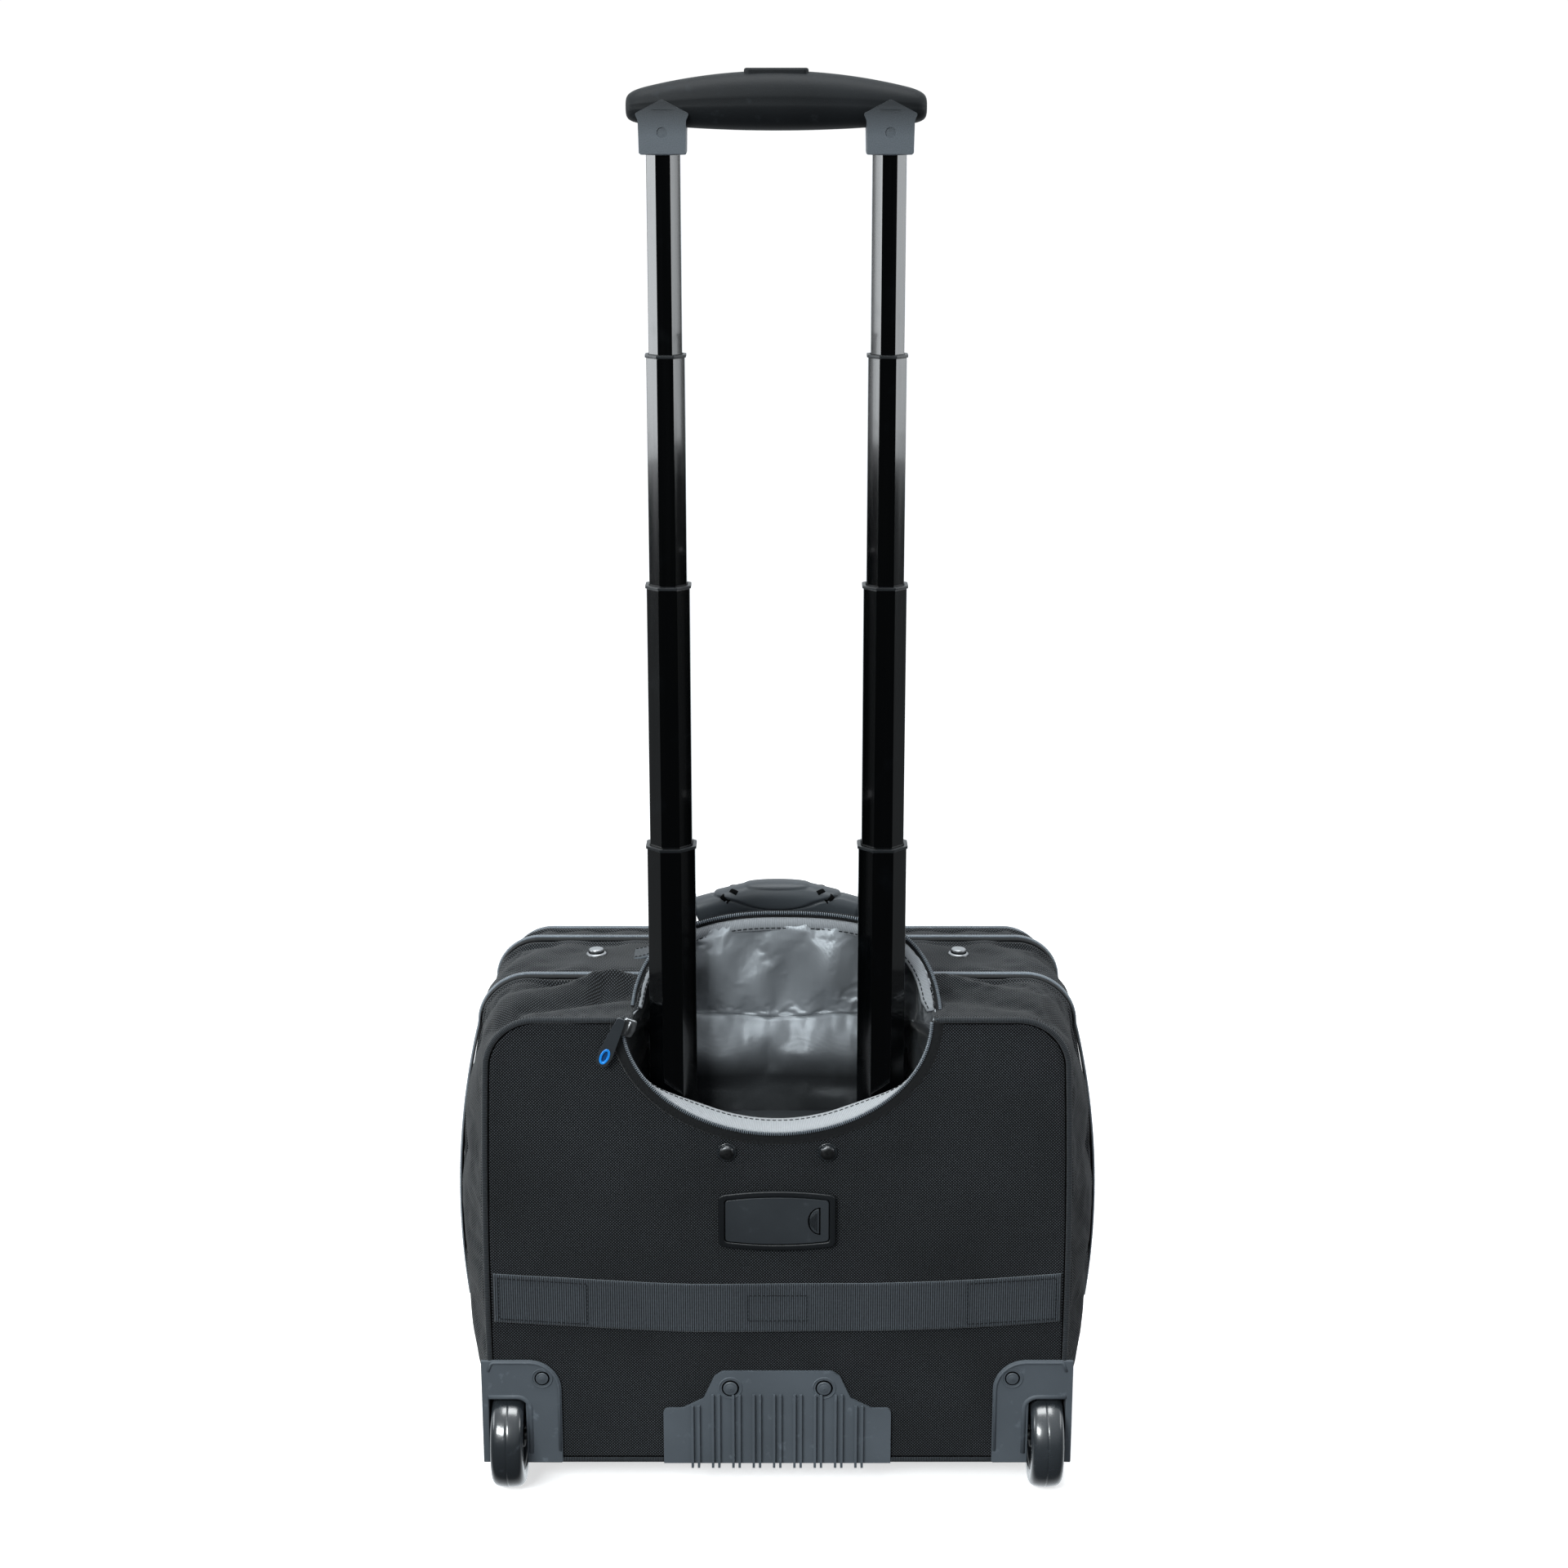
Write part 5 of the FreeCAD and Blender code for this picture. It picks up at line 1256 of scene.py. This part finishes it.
plate("tag_base", [arched(tag_half - 1, tag_tall - 1, 3, 3.5)], -0.3, -1.3, "case",
      PLASTIC_BLACK, 0.2, ("tag_frame",), 2)
rim_loops = [arched(tag_half, tag_tall, 3.2, 4.5), arched(tag_half - 4.2, tag_tall - 4.2, 2.6, 2.5)]
plate("tag_rim", rim_loops, -1.0, -4.2, "case", PLASTIC_BLACK, 0.9)
COVER_HALF, COVER_TALL = 37.2, 18.2
cover_loop = arched(COVER_HALF, COVER_TALL, 2.5, 2.4)
plate("tag_cover_plate", [cover_loop], -1.9, -3.7, "tag_lid", PLASTIC_TAG, 0.5,
      ("tag_cover",))
NOTCH_X = 25.0


def half_moon(edge_x, wide, half):
    """A half circle's outline, stretched sideways, with its straight side at edge_x."""
    arc = [(edge_x - wide * math.sin(a), tag_mid + half * math.cos(a))
           for a in np.linspace(0.15, math.pi - 0.15, 12)]
    return [(edge_x, tag_mid + half)] + arc + [(edge_x, tag_mid - half)]


plate("tag_tab", [rounded(half_moon(NOTCH_X + 5.2, 7.0, 9.5), 0)], -3.5, -4.35, "tag_lid",
      PLASTIC_TAG, 0.3)
# a near-black plate just behind and beyond the tab: painted shade in the gap about it
plate("tag_tab_gap_shade", [half_moon(NOTCH_X + 6.2, 9.2, 10.7)], -3.5, -3.85, "tag_lid", RECESS_SHADE,
      0.1)
rib_grid = Build()
for k in range(5):
    x, half = NOTCH_X + 3.4 - 1.17 * k, 7.4 - 1.2 * k
    line = np.array([(x, -4.4, tag_mid + s * half) for s in np.linspace(-1, 1, 8)])
    sleeve(rib_grid, line, TOWARDS_BACK, 0.32, columns=6)
rib_grid.make("tag_tab_ribs", "tag_lid", "moulded_plastic", [PLASTIC_BLACK])

# ---------------------------------------------------------------- zip slider and pull

slider_low, slider_high = node_box("opening_slider")
slider_mid = (slider_low + slider_high) / 2
tilt = math.radians(20)


def turned_loop(points, centre, angle):
    """An outline turned about its origin and moved to centre, as (x, z) pairs."""
    c, s = math.cos(angle), math.sin(angle)
    return [(centre[0] + x * c - z * s, centre[1] + x * s + z * c) for x, z in points]


body_loop = rounded([(-4.0, -6.5), (4.0, -6.5), (5.2, 0), (4.4, 6.8), (-4.4, 6.8), (-5.2, 0)], 1.8)
body_loop = turned_loop(body_loop, (slider_mid[0], slider_mid[2]), -tilt)
plate("slider_body", [body_loop], -1.0, -3.9, "case", NICKEL, 0.8, ("opening_slider",))
slider_loop = Build()
bow = []
for a in np.linspace(0, math.pi, 18):
    reach, lift = 4.6 * math.cos(a), 1.9 * math.sin(a)
    bow.append((slider_mid[0] + reach * math.sin(tilt), -3.6 - lift, slider_mid[2] + reach * math.cos(tilt)))
bow = np.array(bow)
across_bow = np.array([math.cos(tilt), 0, -math.sin(tilt)])
sleeve(slider_loop, bow, across_bow, 0.95)
slider_loop.make("slider_bridge", "case", "gunmetal", [NICKEL])

PULL_AT = (-109.3, 373.0)
PULL_TURN = math.radians(-24)


def on_pull(points):
    """An outline drawn on the hanging pull, as (x, z) pairs."""
    return turned_loop(points, PULL_AT, PULL_TURN)


def pull_oval(half_wide, half_tall, count=36):
    """An oval about the middle of the pull's ring."""
    turns = np.linspace(0, 2 * math.pi, count, endpoint=False)
    return on_pull([(half_wide * math.cos(a), -29.2 + half_tall * math.sin(a)) for a in turns])


tab = rounded([(-2.8, 1.4), (2.8, 1.4), (3.9, -8.6), (5.3, -27.6), (4.0, -36.8), (-4.0, -36.8), (-5.3, -27.6),
               (-3.9, -8.6)], [1.6, 1.6, 6, 8, 3.0, 3.0, 8, 6])
oval = pull_oval(3.4, 6.1)
plate("zip_pull_tab", [on_pull(tab), oval], -5.7, -7.9, "pull_tab", PULL_GREY, 0.7, ("zip_pull",))
# the ring's floor in darker blue: painted shade
plate("pull_ring_floor", [pull_oval(2.2, 4.8, 30)], -6.0, -6.8, "pull_tab", BLUE_SHADED, 0.2)
plate("pull_ring_oval", [oval, pull_oval(1.7, 4.2)], -5.4, -8.3, "pull_tab", BLUE, 0.45,
      ("pull_ring",))

# ---------------------------------------------------------------- kick plate, guards, studs and rivets

for name, width in (("kick_plate", 0.55), ("wheel_guard_left", 0.9), ("wheel_guard_right", 0.9)):
    dressed(name, PLASTIC, width)

lips = Build()
for side in (-1, 1):
    # the rolled lip along a guard's top edge, from its outer ear round to its inner side
    edge_line = rounded([(211.4, 98.5), (208.9, 105.3), (159.8, 105.3), (159.8, 34.0)], [0, 2.5, 22, 0], 8)
    line = np.array([(side * x, -2.6, z) for x, z in edge_line])
    sleeve(lips, line, TOWARDS_BACK, 1.1)
    # the rounded edge of the arch over the wheel
    arch_line = rounded([(181.0, 32.0), (181.0, 77.6), (211.5, 77.6)], [0, 10, 0], 8)
    line = np.array([(side * x, -1.4, z) for x, z in arch_line])
    sleeve(lips, line, TOWARDS_BACK, 2.1, columns=12)
lips.make("guard_lips", "case", "moulded_plastic", [PLASTIC])


def domed(build, centre, up, profile, columns=36, slot=0):
    """A turned button: (radius, height) pairs about an axis."""
    up = np.array(up, float)
    first = unit(np.cross(up, (0.3, 0.5, 0.7)))
    second = np.cross(up, first)
    angles = np.arange(columns) / columns * 2 * math.pi
    spokes = first * np.cos(angles)[:, None] + second * np.sin(angles)[:, None]
    radii = np.array([radius for radius, _ in profile])[:, None, None]
    heights = np.array([height for _, height in profile])[:, None, None]
    points = np.array(centre) + spokes[None] * radii + up * heights
    base, _ = build.grid(points, slot=slot, wrap=(False, True), flip=True)
    last = base + (len(profile) - 1) * columns
    build.face([base + k for k in range(columns)], slot)
    build.face([last + k for k in reversed(range(columns))], slot)


STUD_PROFILE = [(6.6, 0.0), (7.0, 0.25), (7.0, 0.8), (6.7, 1.15), (5.9, 1.2), (5.75, 1.0), (5.6, 1.15),
                (5.5, 1.8), (4.9, 2.6), (4.1, 3.0), (2.2, 3.25), (0.4, 3.3)]
CAP_PROFILE = [(4.9, 2.4), (5.0, 2.9), (4.6, 3.3), (2.2, 3.5), (0.3, 3.5)]
studs = Build()
for side in (-1, 1):
    domed(studs, (side * STUD_X, 0.2, STUD_Z), TOWARDS_BACK, STUD_PROFILE)
    domed(studs, (side * STUD_X, 0.2, STUD_Z), TOWARDS_BACK, CAP_PROFILE, slot=1)
studs.make("back_stud_caps", "case", "gunmetal", [STUD_BLACK, GUNMETAL], ("back_studs",))
studs = Build()
stud_box = node_box("top_studs")
for side in (-1, 1):
    x = side * (stud_box[1][0] - 7)
    near = np.linalg.norm(middle_grid[..., :2] - (x, 136), axis=-1) + 1000 * (middle_grid[..., 2] < 200)
    i, j = np.unravel_index(np.argmin(near), near.shape)
    at, up = middle_grid[i, j] - middle_up[i, j] * 0.2, middle_up[i, j]
    domed(studs, at, up, [(7.3, 0.0), (7.7, 0.5), (7.5, 1.1), (6.4, 1.7), (5.0, 1.8)])
    # a near-black ring between the stud's base and its button: painted shade
    domed(studs, at, up, [(5.9, 1.0), (6.0, 2.2), (5.0, 2.3)], slot=1)
    button = [(5.3, 2.1), (5.5, 2.5), (5.5, 3.9), (5.1, 4.5), (4.4, 4.8), (2.2, 4.9), (0.3, 4.95)]
    domed(studs, at, up, button)
studs.make("top_stud_caps", "case", "gunmetal", [NICKEL, RECESS_SHADE], ("top_studs",))
RIVETS = ((34.3, 85, 1.06, 8.2), (172, 93, 0.92, 7.4))  # place, size and dimple of each pair
rivets = Build()
RIVET_PROFILE = [(4.8, 0.0), (5.0, 0.4), (4.9, 0.9), (4.0, 1.2), (3.7, 1.0), (3.2, 1.3), (1.6, 1.6),
                 (0.2, 1.65)]
for x, z, size, _ in RIVETS:
    # a near-black ring under each head: painted shadow about the rivet
    shade_ring = [(5.9 * size, 0.0), (6.0 * size, 0.45), (5.2 * size, 0.5)]
    head = [(r * size, h * size + 0.3) for r, h in RIVET_PROFILE]
    for side in (-1, 1):
        domed(rivets, (side * x, -2.4, z), TOWARDS_BACK, shade_ring, slot=1)
        domed(rivets, (side * x, -2.4, z), TOWARDS_BACK, head)
rivets.make("rivet_heads", "case", "gunmetal", [RIVET_GREY, RECESS_SHADE], ("panel_rivets",))
dimples = Build()
for x, z, _, size in RIVETS:
    for side in (-1, 1):
        angles = np.linspace(0, 2 * math.pi, 41)[:-1]
        path = np.stack([side * x + size * np.cos(angles), np.full(40, -2.5), z + size * np.sin(angles)], 1)
        path = np.concatenate([path, path[:2]])
        rings = swept(path, ring(0.7, 8), TOWARDS_BACK)
        dimples.grid(rings[:40], wrap=(True, True))
dimples.make("rivet_dimple_rims", "case", "moulded_plastic", [PLASTIC])

# ---------------------------------------------------------------- wheels

AXLE_DEPTH, AXLE_Z, WHEEL_X = 14.0, 37.5, 198.0
# (radius, place along the axle) pairs of one side, mirrored for the other
TYRE_SIDE = [(25.2, 11.4), (31.5, 11.9), (34.0, 11.2), (35.9, 9.4), (36.9, 6.6), (37.35, 3.2), (37.45, 0.5)]
HUB_SIDE = [(4.1, 10.6), (8.0, 10.8), (8.6, 10.2), (8.9, 7.4), (20.2, 6.2), (21.4, 7.0), (22.3, 10.4)]


def mirrored_profile(half, middle):
    """A profile from one side of a wheel, over its middle, to the other."""
    return [(r, -a) for r, a in half] + middle + half[::-1]


TYRE_PROFILE = mirrored_profile(TYRE_SIDE, [(37.1, 0.0)])
HUB_PROFILE = mirrored_profile(HUB_SIDE, [(24.9, -10.9), (24.95, 10.9)])


def turned(name, x, profile, body, slot, material, replaces, columns=96, smooth_times=2):
    build = Build()
    line = np.array([(r, a, 0) for r, a in profile], float)
    if smooth_times > 1:
        line = refine(line[:, None], smooth_times, 0)[:, 0]
    angles = np.arange(columns) / columns * 2 * math.pi
    points = np.stack([
        x + np.repeat(line[:, 1:2], columns, 1),
        AXLE_DEPTH + line[:, :1] * np.cos(angles)[None],
        AXLE_Z + line[:, :1] * np.sin(angles)[None],
    ], -1)
    build.grid(points, wrap=(True, True))
    return build.make(name, body, slot, [material], replaces)


for word, side in (("left", -1), ("right", 1)):
    body = f"{word}_wheel"
    turned(f"tyre_{word}_round", side * WHEEL_X, TYRE_PROFILE, body, "tyre_rubber", TYRE, (f"tyre_{word}",))
    turned(f"hub_{word}_disc", side * WHEEL_X, HUB_PROFILE, body, "hub_plastic", HUB, (f"hub_{word}",),
           smooth_times=1)
    spokes = Build()
    for k in range(6):
        angle = k / 6 * 2 * math.pi
        line = np.array([(side * WHEEL_X, AXLE_DEPTH + r * math.cos(angle), AXLE_Z + r * math.sin(angle))
                         for r in np.linspace(8.3, 21.6, 6)])
        sleeve(spokes, line, (1, 0, 0), 8.6, columns=12, squash=0.18)
    spokes.make(f"hub_{word}_ribs", body, "hub_plastic", [HUB])

# ---------------------------------------------------------------- grip

# half length, half depth, height of the line, half height in the middle and at the ends, droop of the ends
GRIP_HALF, GRIP_THICK, GRIP_Z, GRIP_RISE, GRIP_END, GRIP_DROOP = 98.0, 17.0, 996.3, 18.9, 9.6, 4.0
# where the tubes stand, and the height of the socket screws
POLE, POLE_DEPTH, SCREW_Z = 74.0, 30.0, 976.5


def grip_surface(rows=72, columns=64):
    """The lens-shaped grip as rings along its length."""
    turn = np.linspace(-1, 1, rows) * math.pi / 2 * 0.995
    share = np.sin(turn)
    bulge = np.cos(turn)
    cap = np.clip(1 - (1 - np.clip(bulge * 1.9, 0, 1)) ** 2.2, 0, 1) ** 0.5
    rise = (GRIP_END + (GRIP_RISE - GRIP_END) * (1 - share ** 2)) * cap
    deep = GRIP_THICK * (0.72 + 0.28 * (1 - share ** 2)) * cap
    angle = np.arange(columns) / columns * 2 * math.pi
    c, s = np.cos(angle), np.sin(angle)
    cy = np.sign(c) * np.abs(c) ** 0.9
    sz = np.sign(s) * np.abs(s) ** 0.95
    groove = 1 - 0.028 * np.exp(-(s / 0.045) ** 2)
    return np.stack([
        np.broadcast_to((GRIP_HALF * share)[:, None], (rows, columns)),
        POLE_DEPTH + deep[:, None] * (cy * groove)[None],
        (GRIP_Z - GRIP_DROOP * share ** 2)[:, None] + rise[:, None] * (sz * groove)[None],
    ], -1)


build = Build()
build.tube(grip_surface())
build.make("grip_body", "grip", "grip_plastic", [PLASTIC_GRIP], ("grip_upper_shell", "grip_lower_shell"))


def octagon_ring(wide, x, z):
    """An eight-sided ring with rounded corners about a pole, as (x, depth, z) points."""
    half = wide / 2
    edge = half * 0.4142
    corners = [(half, -edge), (half, edge), (edge, half), (-edge, half), (-half, edge), (-half, -edge),
               (-edge, -half), (edge, -half)]
    return np.array([(x + a, POLE_DEPTH + b, z) for a, b in rounded(corners, wide * 0.09, 4)])


sockets = Build()
for side in (-1, 1):
    levels = [(29.3, 962.3), (30.5, 963.2), (30.5, 976), (30.6, 984), (31.4, 988), (33.0, 991.0)]
    rings = np.stack([octagon_ring(w, side * POLE, z) for w, z in levels])
    rings[-2:, :, 1] = POLE_DEPTH + (rings[-2:, :, 1] - POLE_DEPTH) * 0.93
    sockets.grid(rings, wrap=(False, True))
    inner_levels = [(33.0, 991.0), (22.6, 990), (22.6, 964), (29.3, 962.3)]
    inner = np.stack([octagon_ring(w, side * POLE, z) for w, z in inner_levels])
    sockets.grid(inner, wrap=(False, True))
sockets.make("grip_sockets", "grip", "grip_plastic", [PLASTIC_SOCKET])
for word, side in (("left", -1), ("right", 1)):
    # the gabled face where a socket runs up into the grip, with the screw's recess in it
    gable = [(-15.2, 963.0), (15.2, 963.0), (15.6, 984.0), (17.6, 988.5), (0.0, 997.5), (-17.6, 988.5),
             (-15.6, 984.0)]
    face = rounded([(side * POLE + x, z) for x, z in gable], [1.2, 1.2, 5, 1.5, 2.5, 1.5, 5])
    recess = [(side * POLE + 3.4 * math.cos(a), SCREW_Z + 3.4 * math.sin(a))
              for a in np.linspace(0, 2 * math.pi, 32, endpoint=False)]
    plate(f"grip_gable_{word}", [face, recess], POLE_DEPTH + 13.0, POLE_DEPTH - 16.0, "grip",
          PLASTIC_SOCKET, 1.4)
    # the screw head deep in its recess is near-black: painted shade
    head = Build()
    domed(head, (side * POLE, POLE_DEPTH - 12.9, SCREW_Z), TOWARDS_BACK,
          [(3.3, 0.0), (3.3, 0.5), (2.7, 0.9), (0.3, 1.1)], 28)
    head.make(f"grip_screw_head_{word}", "grip", "steel", [RECESS_SHADE])
    for number, turn in enumerate((0.5, 0.5 + math.pi / 2)):
        line = np.array([(side * POLE + s * math.cos(turn), POLE_DEPTH - 13.95, SCREW_Z + s * math.sin(turn))
                         for s in np.linspace(-1.7, 1.7, 5)])
        cross = Build()
        sleeve(cross, line, TOWARDS_BACK, 0.35, columns=8)
        cross.make(f"grip_screw_slot_{word}_{number}", "grip", "steel", [CHROME])

# ---------------------------------------------------------------- carry handle and its anchors

# where the handle's pins are, its depth, and how far its middle rises above them
PIN_X, PIN_Z, CARRY_DEPTH, CARRY_RISE = 58.0, 408.0, 136.0, 9.0
radius = (PIN_X ** 2 + CARRY_RISE ** 2) / (2 * CARRY_RISE)


def carry_middle(share):
    """The carry handle's line, from its left pin (-1) to its right (+1)."""
    x = 61.0 * share
    return np.stack([x, 0 * x + CARRY_DEPTH, PIN_Z + CARRY_RISE - radius + np.sqrt(radius ** 2 - x ** 2)], -1)


def carry_size(share):
    """Half heights above and below the line, and half depth."""
    swell = np.exp(-(np.abs(share) / 0.5) ** 4)
    rounding = np.clip((1 - np.abs(share)) / 0.05, 0, 1) ** 0.5
    tall = 0.7 + 0.3 * rounding
    return (9.6 + 2.2 * swell) * tall, 12.4 * tall, 9.6 * (0.8 + 0.2 * rounding)


def carry_relief(share, s):
    """How far the handle's face stands out: an eye-shaped pad, a groove about it and a lens on its crown."""
    inside = s - (-0.42 + 1.45 * (share / 0.74) ** 2)
    pad = 1.5 / (1 + np.exp(-inside / 0.03)) - 1.0 * np.exp(-((inside + 0.09) / 0.06) ** 2)
    lens = 0.9 / (1 + np.exp(((share / 0.36) ** 2 + ((1 - s) / 0.34) ** 2 - 1.0) / 0.07))
    return pad + lens


def carry_point(share, turn, lift=0.0):
    """A point of the handle's surface at a turn about its line."""
    c, s = np.cos(turn), np.sin(turn)
    middle = carry_middle(share)
    up = unit((middle - (0, CARRY_DEPTH, PIN_Z + CARRY_RISE - radius)) * (1, 0, 1))
    above, below, deep = carry_size(share)
    out = carry_relief(share, s) + lift
    y = (deep + out) * np.sign(c) * np.abs(c) ** 0.78
    z = (np.where(s > 0, above, below) + out) * np.sign(s) * np.abs(s) ** 0.85
    return middle + np.array([0.0, 1.0, 0.0]) * y[..., None] + up * z[..., None]


carry_share = np.repeat(np.linspace(-1, 1, 200)[:, None], 96, 1)
carry_turn = np.broadcast_to(np.arange(96) / 96 * 2 * math.pi, carry_share.shape)
build = Build()
build.tube(carry_point(carry_share, carry_turn))
build.make("carry_handle_body", "carry_grip", "handle_rubber", [RUBBER], ("carry_handle",))
# the slots are near-black flattened cords laid on the handle's face: painted shade for the openings
slots = Build()
for side in (-1, 1):
    for at, start, end, size in ((0.58, 0.30, 0.85, 2.3), (0.47, 0.75, 1.15, 1.9)):
        for face in (0, 1):
            t = np.linspace(0, 1, 12)
            share = side * (at + 0.07 * t)
            turn = start + (end - start) * t
            if face == 0:
                turn = math.pi - turn
            path = carry_point(share, turn)
            above_path = carry_point(share, turn, 1.0)
            sleeve(slots, path, unit(above_path - path), size, columns=14, squash=0.3)
slots.make("carry_handle_slot_shades", "carry_grip", "handle_rubber", [RECESS_SHADE])

UPPER_STRAP = ((107.5, 373.2), (101, 374.4), (94, 377.2), (86, 383.0), (78, 391.5), (71, 400.5), (66, 408.6),
               (63.4, 411.4))
LOWER_STRAP = ((84, 373.4), (80, 379), (74, 388), (68.5, 397.5), (64.5, 401.6))
SEWN = 26  # how many points of the upper strap's line lie on the bag


def strap_line(places, side):
    """A smooth line through (x, z) places on one side."""
    line = np.array([(side * x, CARRY_DEPTH, z) for x, z in places])
    return refine(line[:, None], 5, 0)[:, 0]


def add_strap(build, line, half_wide, crown, thick, up):
    """A flat or slightly crowned strap along a line."""
    profile = [(s * half_wide, crown * (1 - s * s)) for s in np.linspace(-1, 1, 9)]
    strap = faced(swept(line, profile, up), "z", 1, 1)
    build.shell(strap, thick, cloth_map(strap)[..., ::-1], slots=(0, 0, 0))


anchors = Build()
anchor_lines = []
for side in (-1, 1):
    line = strap_line(UPPER_STRAP, side)
    slope = unit(np.gradient(line, axis=0))
    up = np.stack([slope[:, 2] * -side, 0 * slope[:, 0], slope[:, 0] * side], 1)
    up = up * np.sign(up[:, 2:3])
    add_strap(anchors, line, 11.0, 0.15, 2.6, up)
    under = strap_line(LOWER_STRAP, side)
    add_strap(anchors, under, 10.6, 0.0, 2.4, (0, 0, 1))
    for offset in (-9.0, 9.0):
        anchor_lines.append((line[:SEWN] + (0, offset, 0) + up[:SEWN] * 0.15, up[:SEWN]))
anchors.make("handle_anchor_straps", "case", "webbing", [WEBBING], ("handle_anchors",))
for number, (line, up) in enumerate(anchor_lines):
    stitches(f"anchor_stitches_{number}", line, up, "case", 3.0, 0.7)

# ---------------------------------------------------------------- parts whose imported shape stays

# the material and the bevel of each
KEPT = {
    "grip_tube_lock_blocks": (PLASTIC_INNER, 0.4), "grip_screws": (STEEL, 0.3),
    "release_button": (PLASTIC_GRIP, 0.4), "base_bracket": (PLASTIC_INNER, 0.8),
    "upper_bracket": (PLASTIC_INNER, 0.8), "wheel_axles": (STEEL, 0.3), "handle_pins": (CHROME, 0.4),
    "front_feet": (PLASTIC, 1.5), "back_board": (BOARD, 0.4),
}
for stage in ("outer", "lower", "middle", "upper", "grip"):
    for word in ("left", "right"):
        KEPT[f"{stage}_tube_{word}"] = (TUBE, 0.4)
    if stage != "grip":
        KEPT[f"{stage}_collars"] = (PLASTIC_BLACK, 0.45)
    if stage not in ("outer", "grip"):
        KEPT[f"{stage}_lock_blocks"] = (PLASTIC_INNER, 0.4)
for name, (material, width) in KEPT.items():
    dressed(name, material, width)

# ---------------------------------------------------------------- floor, light and camera

FLOOR = 40.0
floor = bpy.data.meshes.new("floor")
corners = [(x * FLOOR, y * FLOOR, 0) for x, y in ((-1, -1), (1, -1), (1, 1), (-1, 1))]
floor.from_pydata(corners, [], [(0, 1, 2, 3)])
floor.materials.append(backdrop())
floor_piece = linked("floor", floor)
floor_piece.visible_glossy = False
floor_piece.visible_diffuse = False

world = bpy.data.worlds.new("studio")
bpy.context.scene.world = world
world.use_nodes = True
world.node_tree.nodes.clear()
sky = Nodes(world.node_tree)
heading = sky.node("TexCoord", {}, out="Generated")
upwards = sky.ramp(sky.axis(heading, "Z"), 0.05, 0.95, 0.03, 0.70)
behind = sky.ramp(sky.axis(heading, "Y"), -0.1, 0.6, 0.0, 0.9)
# less of the spread light comes from the two sides
sideways = sky.axis(heading, "X")
dimmed = sky.ramp(sky.math("MULTIPLY", sideways, sideways), 0.0, 1.0, 0.46, 0.14)
seen = sky.node("Background", {"Color": (1, 1, 1, 1), "Strength": 1.02})
spread_light = sky.node("Background", {"Color": (0.95, 1.0, 1.07, 1), "Strength": dimmed})
brightness = sky.math("ADD", upwards, behind)
mirrored = sky.node("Background", {"Color": (0.9, 0.96, 1.0, 1), "Strength": brightness})
glossy = sky.node("LightPath", {}, out="Is Glossy Ray")
direct = sky.node("LightPath", {}, out="Is Camera Ray")
lit = sky.node("MixShader", {0: glossy, 1: spread_light, 2: mirrored})
surface = sky.node("MixShader", {0: direct, 1: lit, 2: seen})
output = sky.tree.nodes.new("ShaderNodeOutputWorld")
sky.tree.links.new(surface, output.inputs["Surface"])


def softbox(name, place, aim, size, watts, colour, spread=180):
    lamp = bpy.data.lights.new(name, "AREA")
    lamp.shape = "RECTANGLE"
    lamp.size, lamp.size_y = size
    lamp.energy = watts
    lamp.color = colour
    lamp.spread = math.radians(spread)
    made = linked(name, lamp)
    made.location = place
    made.rotation_euler = (Vector(aim) - Vector(place)).to_track_quat("-Z", "Y").to_euler()
    made.visible_camera = False


softbox("side_left", (-1.5, -0.15, 1.30), (0, -0.06, 1.25), (0.8, 1.5), 5.0, (0.93, 0.97, 1.0), 75)
softbox("side_right", (1.5, -0.15, 1.30), (0, -0.06, 1.25), (0.8, 1.5), 3.4, (0.93, 0.97, 1.0), 75)
softbox("overhead", (0.0, -0.2, 2.4), (0, 0, 0.3), (1.6, 0.9), 36, (0.96, 0.99, 1.0))
softbox("front_key", (-1.25, -2.45, 1.9), (0, 0, 0.25), (1.3, 0.8), 72, (0.94, 0.99, 1.0))

camera_data = bpy.data.cameras.new("camera")
camera_data.lens = 59.7
camera_data.sensor_width = 36
camera_data.clip_start, camera_data.clip_end = 0.05, 200
camera = linked("camera", camera_data)
camera.location = (0.005, -1.815, 1.020)
camera.rotation_euler = (math.radians(74.5), 0, 0)
bpy.context.scene.camera = camera
bpy.context.scene.view_settings.view_transform = "Standard"
